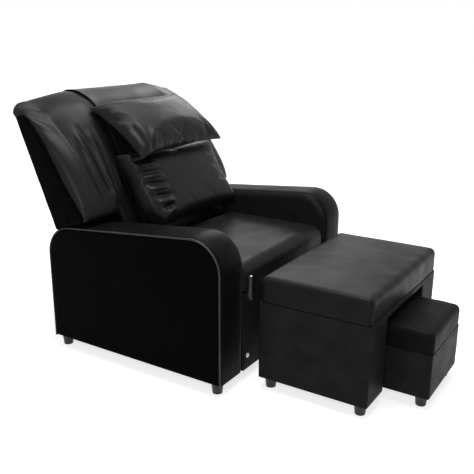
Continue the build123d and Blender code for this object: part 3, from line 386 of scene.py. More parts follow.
def dome(points, low, high, power):
    """1 in the middle of a rectangle and 0 at its edges: the product of 1 less each normalised distance to a
    power."""
    middle, half = (np.asarray(low) + high) / 2, (np.asarray(high, float) - low) / 2
    share = np.clip(np.abs((points - middle) / half), 0, 1)
    return np.prod(1 - share ** power, axis=-1)


def slab_rings(corners, radii, depth, edges, puffs=(0.0, 0.0), spacing=SPACING, turn=8, face_steps=14,
               side_step=0.014, round_steps=6):
    """Rings (m, n, 3) of a padded slab as (a, b, depth): from the middle of the low face out to its edge, round
    that edge by a quarter arc, along the side, round the high edge and in to the middle of the high face. Each face
    is raised by its puff times the dome of the outline's box."""
    outline = tailored_outline(corners, radii, 0.0, spacing, turn)
    low, high = outline.min(0), outline.max(0)
    middle = (low + high) / 2
    faces = []
    for face, (edge, puff) in enumerate(zip(edges, puffs)):
        rim = tailored_outline(corners, radii, edge, spacing, turn)
        shares = np.linspace(0.0, 1.0, face_steps + 1)[1:] ** FACE_CROWDING
        flat = middle + shares[:, None, None] * (rim - middle)
        outward = -1 if face == 0 else 1
        raise_by = outward * puff * dome(flat, low, high, DOME_POWER)
        faces.append(np.concatenate([flat, (depth[face] + raise_by)[..., None]], -1))
    rounds = []
    for face, edge in enumerate(edges):
        outward = -1 if face == 0 else 1
        rows = []
        for angle in np.linspace(0, math.pi / 2, round_steps + 1)[1:]:
            loop = tailored_outline(corners, radii, edge * (1 - math.sin(angle)), spacing, turn)
            level = depth[face] - outward * edge * (1 - math.cos(angle))
            rows.append(np.concatenate([loop, np.full((len(loop), 1), level)], -1))
        rounds.append(np.stack(rows))
    side_low, side_high = depth[0] + edges[0], depth[1] - edges[1]
    count = max(1, int((side_high - side_low) / side_step))
    levels = np.linspace(side_low, side_high, count + 1)[1:-1]
    side = np.concatenate([np.broadcast_to(outline, (len(levels),) + outline.shape),
                           np.broadcast_to(levels[:, None, None], (len(levels), len(outline), 1))], -1)
    return np.concatenate([faces[0], rounds[0], side, rounds[1][::-1], faces[1][::-1]])


def ring_normals(rings):
    """Unit normals of a grid of closed rings, from the cross product of its two centred differences, outwards."""
    along = np.gradient(rings, axis=0)
    around = (np.roll(rings, -1, 1) - np.roll(rings, 1, 1)) / 2
    normal = unit(np.cross(around, along))
    centre = rings.reshape(-1, 3).mean(0)
    if np.sum(normal * (rings - centre)) < 0:
        normal = -normal
    return normal


def crease(points, start, end, width, height):
    """A soft fold on points: height times a bell curve of the distance to the line from start to end, over width,
    and it fades at both ends as the square root of a sine."""
    start, end = np.asarray(start, float), np.asarray(end, float)
    line = end - start
    share = np.clip(((points - start) @ line) / (line @ line), 0, 1)
    distance = np.linalg.norm(points - start - share[..., None] * line, axis=-1)
    fading = np.sqrt(np.sin(np.pi * (FOLD_END + (1 - 2 * FOLD_END) * share)))
    return height * np.exp(-(distance / width) ** 2) * fading


def ripple(points, seed, wavelength):
    """A gentle unevenness, mostly between -1 and 1: the mean of eight sine waves in seeded directions near one
    wavelength, times a gain."""
    chance = np.random.default_rng(seed)
    waves = unit(chance.normal(size=(8, points.shape[-1]))) * (2 * math.pi / wavelength)
    waves = waves * chance.uniform(0.7, 1.4, size=(8, 1))
    return np.mean(np.sin(points @ waves.T + chance.uniform(0, 2 * math.pi, 8)), axis=-1) * RIPPLE_GAIN


def roughened(points, height, seed, wavelength):
    """Rings moved along their normals by a gentle unevenness."""
    return points + ring_normals(points) * (height * ripple(points, seed, wavelength))[..., None]


def smooth_piece(name, vertices, faces, finish):
    """A smooth object of one finish from lists of vertices and faces."""
    mesh = bpy.data.meshes.new(name)
    mesh.from_pydata(vertices, [], faces)
    mesh.polygons.foreach_set("use_smooth", np.ones(len(mesh.polygons), bool))
    mesh.materials.append(FINISH[finish])
    mesh.update()
    return link_object(name, mesh)


def closed_shell(name, rings, finish):
    """A mesh through rings (m, n, 3), each a closed loop, with a point in the middle of the first and last. Its
    faces are turned outwards by its signed volume."""
    rows, count, _ = rings.shape
    vertices = np.concatenate([rings.reshape(-1, 3), rings[:1].mean(1), rings[-1:].mean(1)])
    row, column = np.meshgrid(np.arange(rows - 1), np.arange(count), indexing="ij")
    here = row * count + column
    beside = row * count + (column + 1) % count
    quads = np.stack([here, beside, beside + count, here + count], -1).reshape(-1, 4)
    first = np.arange(count)
    second = (first + 1) % count
    low_cap = np.stack([second, first, np.full(count, rows * count)], -1)
    top = (rows - 1) * count
    high_cap = np.stack([top + first, top + second, np.full(count, rows * count + 1)], -1)
    volume = np.sum(vertices[quads[:, 0]] * np.cross(vertices[quads[:, 1]], vertices[quads[:, 2]]))
    volume += np.sum(vertices[quads[:, 0]] * np.cross(vertices[quads[:, 2]], vertices[quads[:, 3]]))
    if volume < 0:
        quads = quads[:, ::-1]
        low_cap, high_cap = low_cap[:, [1, 0, 2]], high_cap[:, [1, 0, 2]]
    return smooth_piece(name, vertices.tolist(), quads.tolist() + low_cap.tolist() + high_cap.tolist(), finish)


def settle(piece, body, nodes=()):
    """Rides a finished piece on its body, and hides the parts that it replaces."""
    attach(piece, body)
    if nodes:
        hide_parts(*nodes)
    return piece


def leaning(angle):
    """The upward and the forward direction of a plane that leans back from upright by an angle."""
    return (np.array([0.0, math.sin(angle), math.cos(angle)]),
            np.array([0.0, -math.cos(angle), math.sin(angle)]))


# The back's own frame: up along its rear face and out in front of it, from the hinge pins

BACK_RAKE = math.radians(23)
UP, OUT = leaning(BACK_RAKE)
ACROSS = np.array([1.0, 0.0, 0.0])
PIN_LOW, PIN_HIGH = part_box("hinge_pins")
PIVOT = (PIN_LOW + PIN_HIGH) / 2
BACK_ORIGIN = np.array([0.0, PIVOT.y, PIVOT.z])


def in_back(up, out, across):
    """Points in the shared frame from measures of the back: up along its rear face and out in front of it."""
    return (BACK_ORIGIN + np.asarray(up)[..., None] * UP + np.asarray(out)[..., None] * OUT
            + np.asarray(across)[..., None] * ACROSS)


# Arms

ARM_FRONT_HEIGHT = 0.570
ARM_TOP_SLOPE = math.radians(5.2)
ARM_RADII = (0.005, 0.005, 0.120, 0.115)
ARM_EDGES = (0.024, 0.012)
ARM_OUTER_PUFF = 0.002
ARM_CROWN = 0.007
ARM_CROWN_POWER = 2.2
ARM_UNEVEN = 0.0007
WING_GAP = 0.02
WING_FADE = 0.16
FLOOR_FADE = 0.25
BAND_FROM_OUTSIDE = 0.008
BAND_FROM_INSIDE = 0.012

ARM_LOW, ARM_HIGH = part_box("arm_cover_left")
CHAIR_FRONT, CHAIR_REAR = ARM_LOW.y, ARM_HIGH.y
ARM_REAR_HEIGHT = ARM_FRONT_HEIGHT - (CHAIR_REAR - CHAIR_FRONT) * math.tan(ARM_TOP_SLOPE)
ARM_OUTLINE = [(CHAIR_FRONT, ARM_LOW.z), (CHAIR_REAR, ARM_LOW.z),
               (CHAIR_REAR, ARM_REAR_HEIGHT), (CHAIR_FRONT, ARM_FRONT_HEIGHT)]


def arm_rings():
    """The left arm: a slab across, crowned over its band by a dome times the squared share of the normal that does
    not point across. The crown fades near the back's wing and the floor."""
    rings = slab_rings(ARM_OUTLINE, ARM_RADII, (ARM_LOW.x, ARM_HIGH.x), ARM_EDGES, (0.0, ARM_OUTER_PUFF), turn=20)
    points = rings[..., [2, 0, 1]]
    normal = ring_normals(points)
    band = dome(points[..., :1], [ARM_LOW.x], [ARM_HIGH.x], ARM_CROWN_POWER)
    band = band * np.linalg.norm(normal[..., 1:], axis=-1) ** 2
    clear_of_wing = np.clip((PIVOT.y - WING_GAP - points[..., 1]) / WING_FADE, 0, 1)
    above_floor = np.clip((points[..., 2] - ARM_LOW.z) / FLOOR_FADE, 0, 1)
    uneven = ARM_UNEVEN * ripple(points, 11, 0.16)
    lift = (ARM_CROWN * band * clear_of_wing + uneven) * above_floor
    return points + normal * lift[..., None]


for name, side in SIDES:
    points = arm_rings()
    points[..., 0] *= side
    # The outer side of the arm takes the near-black copy of the leather as painted shade.
    cover = closed_shell(f"arm_upholstery_{name}", points, "side_leather")
    settle(cover, "chair", [f"arm_cover_{name}"])
    # The top and front band take a dark copy of the leather as painted shade.
    cover.data.materials.append(FINISH["band_leather"])
    # The inner face takes a lighter copy of the leather as painted light.
    cover.data.materials.append(FINISH["inner_leather"])
    centres = np.empty(len(cover.data.polygons) * 3)
    cover.data.polygons.foreach_get("center", centres)
    across = np.abs(centres[0::3])
    # Each face takes its copy of the leather by its distance across: near-black outer side and dark band as painted
    # shade, lighter inner face as painted light.
    shade_copy_index = (across < ARM_HIGH.x - BAND_FROM_OUTSIDE).astype(int) + (across < ARM_LOW.x + BAND_FROM_INSIDE)
    cover.data.polygons.foreach_set("material_index", shade_copy_index)


# Seat and the panels of the base

SEAT_RADII = (0.012, 0.012, 0.03, 0.045)
SEAT_EDGE = 0.026
SEAT_PUFF = 0.002
SEAT_CROWN = 0.009
SEAT_CROWN_POWER = 2.4
SEAT_UNEVEN = 0.0010
PANEL_RADIUS = 0.006
BASE_PANELS = (
    ("apron_upholstery", "front_apron", (0.005, 0.004), 8),
    ("rear_panel_upholstery", "base_rear_panel", (0.004, 0.005), 9),
)

SEAT_LOW, SEAT_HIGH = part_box("seat_cushion")
rings = slab_rings(rectangle((SEAT_LOW.y, SEAT_LOW.z), (SEAT_HIGH.y, SEAT_HIGH.z)), SEAT_RADII,
                   (SEAT_LOW.x, SEAT_HIGH.x), (SEAT_EDGE,) * 2, (SEAT_PUFF,) * 2, turn=14)
points = rings[..., [2, 0, 1]]
normal = ring_normals(points)
crown = SEAT_CROWN * dome(points[..., :2], SEAT_LOW[:2], SEAT_HIGH[:2], SEAT_CROWN_POWER)
lift = crown * np.clip(normal[..., 2], 0, 1) + SEAT_UNEVEN * ripple(points, 5, 0.13)
seat = closed_shell("seat_pad", points + normal * lift[..., None], "seat_leather")
settle(seat, "chair", ["seat_cushion"])

for name, node, edges, seed in BASE_PANELS:
    low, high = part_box(node)
    rings = slab_rings(rectangle((low.x, low.z), (high.x, high.z)), (PANEL_RADIUS,) * 4, (low.y, high.y), edges)
    panel = closed_shell(name, roughened(rings[..., [0, 2, 1]], 0.0005, seed, 0.1), "panel_leather")
    settle(panel, "chair", [node])


# Back: the pad is a loop in (up, out) carried across the chair

MIDDLE_LOOP = np.array([
    (-0.043, 0.140), (-0.030, 0.176), (0.050, 0.183), (0.163, 0.181), (0.381, 0.178), (0.526, 0.149),
    (0.598, 0.094), (0.631, 0.042), (0.635, 0.008), (0.622, -0.022), (0.592, -0.030), (0.576, -0.012),
    (0.560, 0.030), (0.330, 0.052), (0.000, 0.052), (-0.040, 0.080)])
STEPPED_LOOP = np.array([
    (0.110, 0.128), (0.106, 0.168), (0.145, 0.183), (0.230, 0.182), (0.381, 0.178), (0.526, 0.149),
    (0.598, 0.094), (0.631, 0.042), (0.635, 0.008), (0.622, -0.022), (0.592, -0.030), (0.576, -0.012),
    (0.560, 0.030), (0.330, 0.052), (0.142, -0.002), (0.116, 0.036)])
SHOULDER_LOOP = np.array([
    (0.112, 0.122), (0.110, 0.158), (0.180, 0.172), (0.270, 0.162), (0.349, 0.145), (0.433, 0.117),
    (0.524, 0.074), (0.585, 0.030), (0.622, -0.008), (0.616, -0.030), (0.592, -0.036), (0.576, -0.014),
    (0.560, 0.010), (0.330, 0.052), (0.142, -0.002), (0.116, 0.036)])
EDGE_LOOP = np.array([
    (0.116, 0.112), (0.116, 0.140), (0.180, 0.134), (0.270, 0.110), (0.349, 0.095), (0.433, 0.081),
    (0.524, 0.050), (0.560, 0.020), (0.586, -0.006), (0.584, -0.018), (0.578, -0.020), (0.572, -0.012),
    (0.555, 0.000), (0.330, 0.052), (0.142, -0.002), (0.118, 0.036)])
SIDE_ROUNDING_START = 0.405
PAD_HALF = 0.4765
LOWER_HALF = 0.312
SHOULDER_START = 0.235
PAD_STEPS = 9
RUNNER_STEPS = 24
STEP_FROM, STEP_TO = 0.006, 0.013
STEP_OFFSETS = (-0.003, 0.0, 0.003, 0.008)
PAD_FRONT_FROM, PAD_FRONT_FADE = 0.06, 0.03
PAD_UNEVEN = 0.0014


def smooth_loop(controls, steps):
    """A closed Catmull-Rom curve through the controls (..., k, 2), with the same number of steps between each
    two."""
    share = np.linspace(0, 1, steps, endpoint=False)[:, None]
    before, here = np.roll(controls, 1, -2), controls
    after, beyond = np.roll(controls, -1, -2), np.roll(controls, -2, -2)
    a, b, c, d = (v[..., :, None, :] for v in (before, here, after, beyond))
    curve = 0.5 * (2 * b + (c - a) * share + (2 * a - 5 * b + 4 * c - d) * share ** 2
                   + (3 * b - a - 3 * c + d) * share ** 3)
    return curve.reshape(controls.shape[:-2] + (-1, 2))


def pad_controls(across):
    """The control loop of the back pad at a distance across: the middle or the stepped loop, falling away to the
    shoulder loop as the square of the distance past SHOULDER_START, and to the edge loop round a quarter ellipse
    at the side."""
    distance = abs(across)
    centre = MIDDLE_LOOP if distance <= LOWER_HALF else STEPPED_LOOP
    fall = np.clip((distance - SHOULDER_START) / (SIDE_ROUNDING_START - SHOULDER_START), 0, 1) ** 2
    loop = centre + fall * (SHOULDER_LOOP - STEPPED_LOOP)
    if distance <= LOWER_HALF:
        loop[:4] = centre[:4]
        loop[-2:] = centre[-2:]
    turn = np.clip((distance - SIDE_ROUNDING_START) / (PAD_HALF - SIDE_ROUNDING_START), 0, 1)
    return loop + (1 - math.sqrt(1 - turn ** 2)) * (EDGE_LOOP - SHOULDER_LOOP)


def pad_stations():
    """Distances across the pad: even in the middle, close together at the step and round each side."""
    middle = np.linspace(0, LOWER_HALF - STEP_FROM, 56)
    step = [LOWER_HALF + offset for offset in STEP_OFFSETS]
    wing = np.linspace(LOWER_HALF + STEP_TO, SIDE_ROUNDING_START, 17)
    rounding = np.sin(np.linspace(0, math.pi / 2, 16))[1:]
    turn = SIDE_ROUNDING_START + (PAD_HALF - SIDE_ROUNDING_START) * rounding
    half = np.concatenate([middle[1:], step, wing, turn])
    return np.concatenate([-half[::-1], [0.0], half])


# Folds: start and end as (across, up), width and height
PAD_FOLDS = (
    ((-0.350, 0.460), (-0.332, 0.225), 0.008, -0.0070),
    ((-0.368, 0.430), (-0.350, 0.200), 0.009, 0.0070),
    ((-0.322, 0.420), (-0.312, 0.185), 0.008, 0.0080),
    ((-0.303, 0.360), (-0.297, 0.155), 0.007, -0.0085),
    ((-0.388, 0.380), (-0.370, 0.165), 0.009, -0.0060),
    ((-0.288, 0.430), (-0.282, 0.290), 0.007, 0.0055),
    ((-0.270, 0.360), (-0.264, 0.180), 0.009, 0.0075),
    ((-0.252, 0.330), (-0.250, 0.190), 0.008, -0.0060),
    ((-0.332, 0.190), (-0.305, 0.150), 0.020, 0.0110),
    ((0.350, 0.420), (0.342, 0.220), 0.012, 0.0045),
    ((0.318, 0.380), (0.312, 0.200), 0.011, -0.0045),
    ((0.378, 0.360), (0.366, 0.190), 0.012, -0.0035),
    ((0.290, 0.350), (0.284, 0.180), 0.012, 0.0050),
)
ROLL_FOLDS = (
    ((0.452, 0.600), (0.400, 0.560), 0.008, -0.0050),
    ((0.462, 0.575), (0.405, 0.530), 0.008, 0.0035),
    ((0.466, 0.552), (0.418, 0.500), 0.008, -0.0045),
    ((0.468, 0.520), (0.430, 0.465), 0.009, 0.0030),
    ((0.452, 0.615), (0.380, 0.600), 0.008, 0.0030),
)

stations = pad_stations()
loops = smooth_loop(np.stack([pad_controls(x) for x in stations]), PAD_STEPS)
across = np.broadcast_to(stations[:, None], loops.shape[:2])
pad_points = in_back(loops[..., 0], loops[..., 1], across)
plan = np.stack([across, loops[..., 0]], -1)
mirrored_plan = np.stack([np.abs(across), loops[..., 0]], -1)
front_facing = np.clip((loops[..., 1] - PAD_FRONT_FROM) / PAD_FRONT_FADE, 0, 1)
lift = sum(crease(plan, *fold) for fold in PAD_FOLDS) + PAD_UNEVEN * ripple(pad_points, 21, 0.17)
lift = lift * front_facing + sum(crease(mirrored_plan, *fold) for fold in ROLL_FOLDS)
back_pad = closed_shell("back_pad_upholstery", pad_points + ring_normals(pad_points) * lift[..., None],
                        "back_leather")
settle(back_pad, "back", ["back_pad"])

WING_OUTLINE = [(0.117, -0.011), (0.116, 0.060), (0.106, 0.149), (0.283, 0.106), (0.475, 0.074), (0.560, 0.040),
                (0.572, -0.011)]
WING_RADII = (0.010, 0.2, 0.018, 0.5, 0.5, 0.05, 0.010)
WING_EDGES = (0.002, 0.008)
WING_PUFF = 0.003
WING_OVERLAP = 0.002
WING_LOW, WING_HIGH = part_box("back_wing_cover_left")
for name, side in SIDES:
    rings = slab_rings(WING_OUTLINE, WING_RADII, (WING_LOW.x - WING_OVERLAP, WING_HIGH.x), WING_EDGES,
                       (0.0, WING_PUFF))
    points = roughened(in_back(rings[..., 0], rings[..., 1], rings[..., 2]), 0.0006, 31, 0.1)
    points[..., 0] *= side
    # The wing takes the near-black copy of the leather as painted shade.
    wing = closed_shell(f"wing_upholstery_{name}", points, "side_leather")
    settle(wing, "back", [f"back_wing_cover_{name}"])

REAR_OUT = (-0.011, -0.005)
REAR_RADIUS = 0.008
REAR_EDGE = 0.0028
REAR_PUFF = 0.003
REAR_COVERS = (
    ("rear_cover_upper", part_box("back_rear_cover")[1].x, 0.128, 0.572, ["back_rear_cover"]),
    ("rear_cover_lower", 0.288, -0.045, 0.130, []),
)
for name, half, low, high, nodes in REAR_COVERS:
    rings = slab_rings(rectangle((-half, low), (half, high)), (REAR_RADIUS,) * 4, REAR_OUT, (REAR_EDGE,) * 2,
                       (REAR_PUFF, 0.0))
    points = roughened(in_back(rings[..., 1], rings[..., 2], rings[..., 0]), 0.0008, 41, 0.15)
    settle(closed_shell(name, points, "panel_leather"), "back", nodes)


# Runner over the head of the back

RUNNER_WIDTH = 0.450
RUNNER_LIFT = 0.0028
RUNNER_THICKNESS = 0.0014
RUNNER_FRONT_END = 0.000
RUNNER_EDGE_LIFT = 0.0026
RUNNER_EDGE_POWER = 8
RUNNER_WAVES = 0.0007
RUNNER_ROWS, RUNNER_COLUMNS = 150, 61
LAST_LOOP_CONTROL = 11
HANGING_LINE = [(0.570, -0.0325), (0.530, -0.0260), (0.490, -0.0180), (0.425, -0.0170)]


def runner_line():
    """The runner's line in (up, out), evenly walked, and its length: up the front of the pad and over the roll,
    kept clear of them by RUNNER_LIFT, and down the rear."""
    front = smooth_loop(MIDDLE_LOOP, RUNNER_STEPS)[:LAST_LOOP_CONTROL * RUNNER_STEPS]
    direction = unit(np.gradient(front, axis=0))
    clear = front - RUNNER_LIFT * np.stack([direction[:, 1], -direction[:, 0]], -1)
    line = np.concatenate([clear[clear[:, 0] > RUNNER_FRONT_END], HANGING_LINE])
    walked = np.concatenate([[0], np.cumsum(np.linalg.norm(np.diff(line, axis=0), axis=1))])
    even = np.linspace(0, walked[-1], RUNNER_ROWS)
    return np.stack([np.interp(even, walked, line[:, k]) for k in (0, 1)], -1), walked[-1]


line, runner_length = runner_line()
spread = np.linspace(-RUNNER_WIDTH / 2, RUNNER_WIDTH / 2, RUNNER_COLUMNS)
grid_across = np.broadcast_to(spread, (RUNNER_ROWS, RUNNER_COLUMNS))
grid_up, grid_out = (np.broadcast_to(line[:, None, k], grid_across.shape) for k in (0, 1))
runner_points = in_back(grid_up, grid_out, grid_across)
slope = unit(np.gradient(line, axis=0))
runner_normal = slope[:, 1, None] * -UP + slope[:, 0, None] * OUT
edge_lift = RUNNER_EDGE_LIFT * (np.abs(grid_across) / (RUNNER_WIDTH / 2)) ** RUNNER_EDGE_POWER
waves = RUNNER_WAVES * (1 + ripple(runner_points, 51, 0.12))
runner_points = runner_points + runner_normal[:, None] * (edge_lift + waves)[..., None]
row, column = np.meshgrid(np.arange(RUNNER_ROWS - 1), np.arange(RUNNER_COLUMNS - 1), indexing="ij")
here = row * RUNNER_COLUMNS + column
quads = np.stack([here, here + 1, here + RUNNER_COLUMNS + 1, here + RUNNER_COLUMNS], -1).reshape(-1, 4)
runner = smooth_piece("head_runner_cloth", runner_points.reshape(-1, 3).tolist(), quads.tolist(), "back_leather")
wall = runner.modifiers.new("thickness", "SOLIDIFY")
wall.thickness = RUNNER_THICKNESS
wall.offset = 0
settle(runner, "back", ["head_runner"])


# Loose cushions, sewn from two sheets and blown up

BAG_ALLOWANCE = (1.06, 1.08)
BLOWING_FRAMES = 24
CLOTH_STIFFNESS = 18.0
CLOTH_BENDING = 0.6
CLOTH_MASS = 0.25
EAR_POWER = 6


def sewn_bag(width, length, columns, rows, start):
    """Two rectangles of cloth joined at the rim, start apart in the middle by the square root of the dome."""
    a, b = np.meshgrid(np.linspace(-1, 1, columns), np.linspace(-1, 1, rows), indexing="ij")
    lift = start * np.sqrt(np.clip((1 - a ** 2) * (1 - b ** 2), 0, 1))
    front = np.stack([a * width / 2, b * length / 2, lift], -1)
    rear = front * (1, 1, -1)
    top = np.arange(columns * rows).reshape(columns, rows)
    under = top.copy()
    under[1:-1, 1:-1] = columns * rows + np.arange((columns - 2) * (rows - 2)).reshape(columns - 2, rows - 2)
    vertices = np.concatenate([front.reshape(-1, 3), rear[1:-1, 1:-1].reshape(-1, 3)])
    upper = np.stack([top[:-1, :-1], top[1:, :-1], top[1:, 1:], top[:-1, 1:]], -1).reshape(-1, 4)
    lower = np.stack([under[:-1, :-1], under[:-1, 1:], under[1:, 1:], under[1:, :-1]], -1).reshape(-1, 4)
    return vertices, np.concatenate([upper, lower])


def blown_up(vertices, faces, pressure):
    """The bag's points after a cloth simulation with pressure inside and no gravity."""
    mesh = bpy.data.meshes.new("bag")
    mesh.from_pydata(vertices.tolist(), [], faces.tolist())
    bag = link_object("bag", mesh)
    scene = bpy.context.scene
    cloth = bag.modifiers.new("cloth", "CLOTH")
    settings = cloth.settings
    settings.quality = 7
    settings.mass = CLOTH_MASS
    settings.tension_stiffness = CLOTH_STIFFNESS
    settings.compression_stiffness = CLOTH_STIFFNESS
    settings.shear_stiffness = CLOTH_STIFFNESS * 0.4
    settings.bending_stiffness = CLOTH_BENDING
    settings.air_damping = 2.0
    settings.use_pressure = True
    settings.uniform_pressure_force = pressure
    settings.effector_weights.gravity = 0.0
    cloth.collision_settings.use_collision = False
    cloth.point_cache.frame_start = 1
    cloth.point_cache.frame_end = BLOWING_FRAMES
    for step in range(1, BLOWING_FRAMES + 1):
        scene.frame_set(step)
    graph = bpy.context.evaluated_depsgraph_get()
    result = bag.evaluated_get(graph).to_mesh()
    moved = np.empty(len(result.vertices) * 3)
    result.vertices.foreach_get("co", moved)
    bpy.data.objects.remove(bag)
    scene.frame_set(1)
    return moved.reshape(-1, 3)


def cushion_points(size, pressure, over, under, grid, gathered, square, boxed, ears, folds):
    """A cushion's points and faces. Its bag is blown up. In plan the result is part simulated, by the share
    gathered, and part the plain rectangle of its size. The height over its face is part simulated and part, by
    the share boxed, the root of the product of 1 less each share across and along to the powers in square. The
    height under it is simulated. Creases lie on the face, and each corner is drawn out by its ear times a high
    power of the nearness to that corner."""
    bag_size = (size[0] * BAG_ALLOWANCE[0], size[1] * BAG_ALLOWANCE[1])
    vertices, faces = sewn_bag(*bag_size, *grid, (over + under) / 4)
    points = blown_up(vertices, faces, pressure)
    share = vertices[:, :2] / vertices[:, :2].max(0)
    half = np.array(size) / 2
    middle = (points.min(0) + points.max(0))[:2] / 2
    drawn = (points[:, :2] - middle) * half / (np.abs(points[:, :2] - middle)).max(0)
    plan = gathered * drawn + (1 - gathered) * share * half
    full = np.sqrt(np.prod(1 - np.abs(share) ** np.array(square), axis=1))
    rise = points[:, 2]
    blown = np.where(rise > 0, rise / rise.max(), -rise / rise.min())
    on_face = np.arange(len(points)) < grid[0] * grid[1]
    height = np.where(on_face, (1 - boxed) * blown + boxed * full, blown)
    height = np.where(height > 0, height * over, height * under)
    height = height + np.where(on_face, sum(crease(plan, *fold) for fold in folds) * full, 0.0)
    points = np.column_stack([plan, height])
    for across, along, draw in ears:
        near = (1 + across * share[:, 0]) * (1 + along * share[:, 1]) / 4
        points = points + near[:, None] ** EAR_POWER * np.array(draw)
    return points, faces


def make_cushion(name, body, node, fill, centre, lean, **shape):
    """A finished cushion: placed in the back's frame at its centre and leaning back by its own angle, with one
    subdivision, riding on its body."""
    points, faces = cushion_points(**shape)
    rise, face = leaning(lean)
    placed = in_back(*centre, 0.0) + points[:, :1] * ACROSS + points[:, 1:2] * rise + points[:, 2:] * face
    piece = smooth_piece(name, placed.tolist(), faces.tolist(), "pillow_leather")
    finer = piece.modifiers.new("finer", "SUBSURF")
    finer.levels = 1
    finer.render_levels = 1
    settle(piece, body, [node])


# Ears: the corner's side across and along, and how far it is drawn across, along and out
PILLOW_EARS = (
    (-1, 1, (-0.008, -0.008, -0.007)),
    (-1, -1, (0.000, -0.014, -0.010)),
    (1, -1, (0.004, -0.006, 0.0)),
    (1, 1, (0.004, 0.000, 0.0)),
)
PILLOW_FOLDS = (
    ((-0.254, -0.130), (-0.246, -0.040), 0.007, 0.0050),
    ((-0.238, -0.138), (-0.224, -0.035), 0.007, -0.0070),
    ((-0.222, -0.140), (-0.203, -0.045), 0.007, 0.0060),
    ((-0.203, -0.142), (-0.178, -0.065), 0.008, -0.0060),
    ((-0.180, -0.142), (-0.160, -0.080), 0.009, 0.0040),
    ((-0.250, 0.125), (-0.180, 0.085), 0.008, -0.0040),
    ((-0.245, 0.095), (-0.190, 0.070), 0.008, 0.0040),
    ((0.165, -0.138), (0.172, -0.060), 0.010, -0.0040),
    ((0.222, -0.130), (0.205, -0.060), 0.009, 0.0045),
)
LUMBAR_EARS = (
    (-1, 1, (-0.004, 0.012, 0.004)),
    (-1, -1, (0.040, -0.010, 0.006)),
    (1, -1, (0.016, -0.012, 0.006)),
    (1, 1, (0.014, 0.004, 0.0)),
)
LUMBAR_FOLDS = (
    ((-0.262, 0.108), (-0.180, 0.112), 0.008, -0.0140),
    ((-0.258, 0.086), (-0.160, 0.080), 0.008, 0.0098),
    ((-0.255, 0.060), (-0.150, 0.050), 0.007, -0.0119),
    ((-0.252, 0.038), (-0.155, 0.030), 0.007, 0.0098),
    ((-0.250, 0.014), (-0.145, -0.002), 0.007, -0.0119),
    ((-0.246, -0.012), (-0.150, -0.022), 0.007, 0.0091),
    ((-0.240, -0.040), (-0.140, -0.052), 0.008, -0.0119),
    ((-0.236, -0.068), (-0.150, -0.076), 0.008, 0.0091),
    ((-0.230, -0.096), (-0.160, -0.092), 0.008, -0.0105),
    ((-0.222, -0.124), (-0.165, -0.108), 0.008, 0.0084),
    ((0.258, 0.080), (0.190, 0.070), 0.009, -0.0050),
    ((0.256, 0.020), (0.180, 0.014), 0.009, -0.0050),
    ((0.254, -0.050), (0.190, -0.044), 0.009, -0.0050),
)
make_cushion("head_pillow_cushion", "pillow", "head_pillow", 0.8, (0.402, 0.242), BACK_RAKE + math.radians(33),
             size=(0.530, 0.300), pressure=5.0, over=0.074, under=0.011, grid=(107, 61), gathered=0.25,
             square=(8, 5), boxed=0.4, ears=PILLOW_EARS, folds=PILLOW_FOLDS)
make_cushion("lumbar_support_cushion", "lumbar", "lumbar_cushion", 0.9, (0.150, 0.226),
             BACK_RAKE + math.radians(7.6),
             size=(0.550, 0.306), pressure=6.0, over=0.080, under=0.028, grid=(111, 63), gathered=0.18,
             square=(24, 10), boxed=0.75, ears=LUMBAR_EARS, folds=LUMBAR_FOLDS)


# Ottoman and stool

CASE_EDGE = (0.004, 0.0008)
BAND_EDGE = (0.0008, 0.0035)
CASE_UNEVEN = 0.0006
BOX_WAVELENGTH = 0.09
BOTTOM_FADE = 0.01


def upholstered_box(name, node, body, finish, radius, edges, seed, fill=None, crown=0.0, uneven=CASE_UNEVEN,
                    spacing=SPACING, turn=8):
    """A box lofted upwards in the place of a node: a rounded rectangle in plan with a rounded lower and upper edge,
    crowned by a dome."""
    low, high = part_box(node)
    rings = slab_rings(rectangle(low[:2], high[:2]), (radius,) * 4, (low[2], high[2]), edges, spacing=spacing,
                       turn=turn)
    normal = ring_normals(rings)
    lift = crown * dome(rings[..., :2], low[:2], high[:2], DOME_POWER) * np.clip(normal[..., 2], 0, 1)
    lift = lift + uneven * ripple(rings, seed, BOX_WAVELENGTH)
    bottom = np.clip((rings[..., 2] - low[2]) / BOTTOM_FADE, 0, 1)
    piece = closed_shell(name, rings + normal * (lift * bottom)[..., None], finish)
    settle(piece, body, [node])


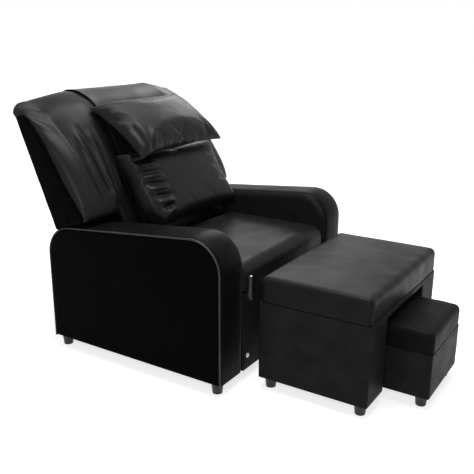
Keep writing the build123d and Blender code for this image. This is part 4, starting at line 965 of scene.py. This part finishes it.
PAD_SHAPE = {"fill": 0.85, "uneven": 0.0010, "spacing": 0.010, "turn": 10}
for name, _ in SIDES:
    upholstered_box(f"ottoman_side_upholstery_{name}", f"ottoman_side_{name}", "ottoman", "panel_leather", 0.007,
                    CASE_EDGE, 61, fill=0.8)
upholstered_box("ottoman_rear_upholstery", "ottoman_rear_panel", "ottoman", "panel_leather", 0.005, CASE_EDGE, 62)
upholstered_box("ottoman_band_upholstery", "ottoman_top_board", "ottoman", "panel_leather", 0.007, BAND_EDGE, 63)
upholstered_box("ottoman_pad", "ottoman_cushion", "ottoman", "seat_leather", 0.022, (0.007, 0.024), 64,
                crown=0.007, **PAD_SHAPE)
upholstered_box("stool_case_upholstery", "stool_case", "stool", "panel_leather", 0.007, CASE_EDGE, 65, fill=0.8)
upholstered_box("stool_band_upholstery", "stool_top_board", "stool", "panel_leather", 0.007, BAND_EDGE, 66)
upholstered_box("stool_pad", "stool_cushion", "stool", "shaded_leather", 0.020, (0.006, 0.022), 67,
                crown=0.006, **PAD_SHAPE)


# Finishes of the parts that show as they are

CAD_FINISH = {
    "black_plastic": ["chair_feet", "ottoman_feet", "stool_feet"],
    "chrome": ["release_lever", "apron_cap"],
    "black_steel": ["lever_bracket", "hinge_plates", "hinge_brackets", "strut_lower_bracket",
                    "strut_upper_bracket", "strut_cylinder"],
    "zinc_steel": ["seat_springs", "frame_bolts", "hinge_pins", "strut_lower_pin", "strut_upper_pin", "strut_rod"],
    "nylon": ["hinge_bushes", "seat_spring_clips"],
    "welt_leather": ["arm_piping"],
    "woven_black": ["base_dust_cover", "back_webbing"],
    # The dark woods are painted shade where frame shows through the gaps.
    "plywood": ["arm_inner_board_right", "arm_inner_board_left", "arm_outer_board_right", "arm_outer_board_left",
                "back_wing_board_right", "back_wing_board_left"],
    "hardwood": ["arm_battens", "seat_side_rail_right", "seat_side_rail_left", "seat_front_rail", "seat_rear_rail",
                 "strut_cross_rail", "back_stile_right", "back_stile_left", "back_top_rail", "back_wing_rail",
                 "back_lower_rail"],
}
for finish, names in CAD_FINISH.items():
    for name in names:
        NODES[name].data.materials.clear()
        NODES[name].data.materials.append(FINISH[finish])

bpy.context.scene.view_settings.view_transform = "Standard"
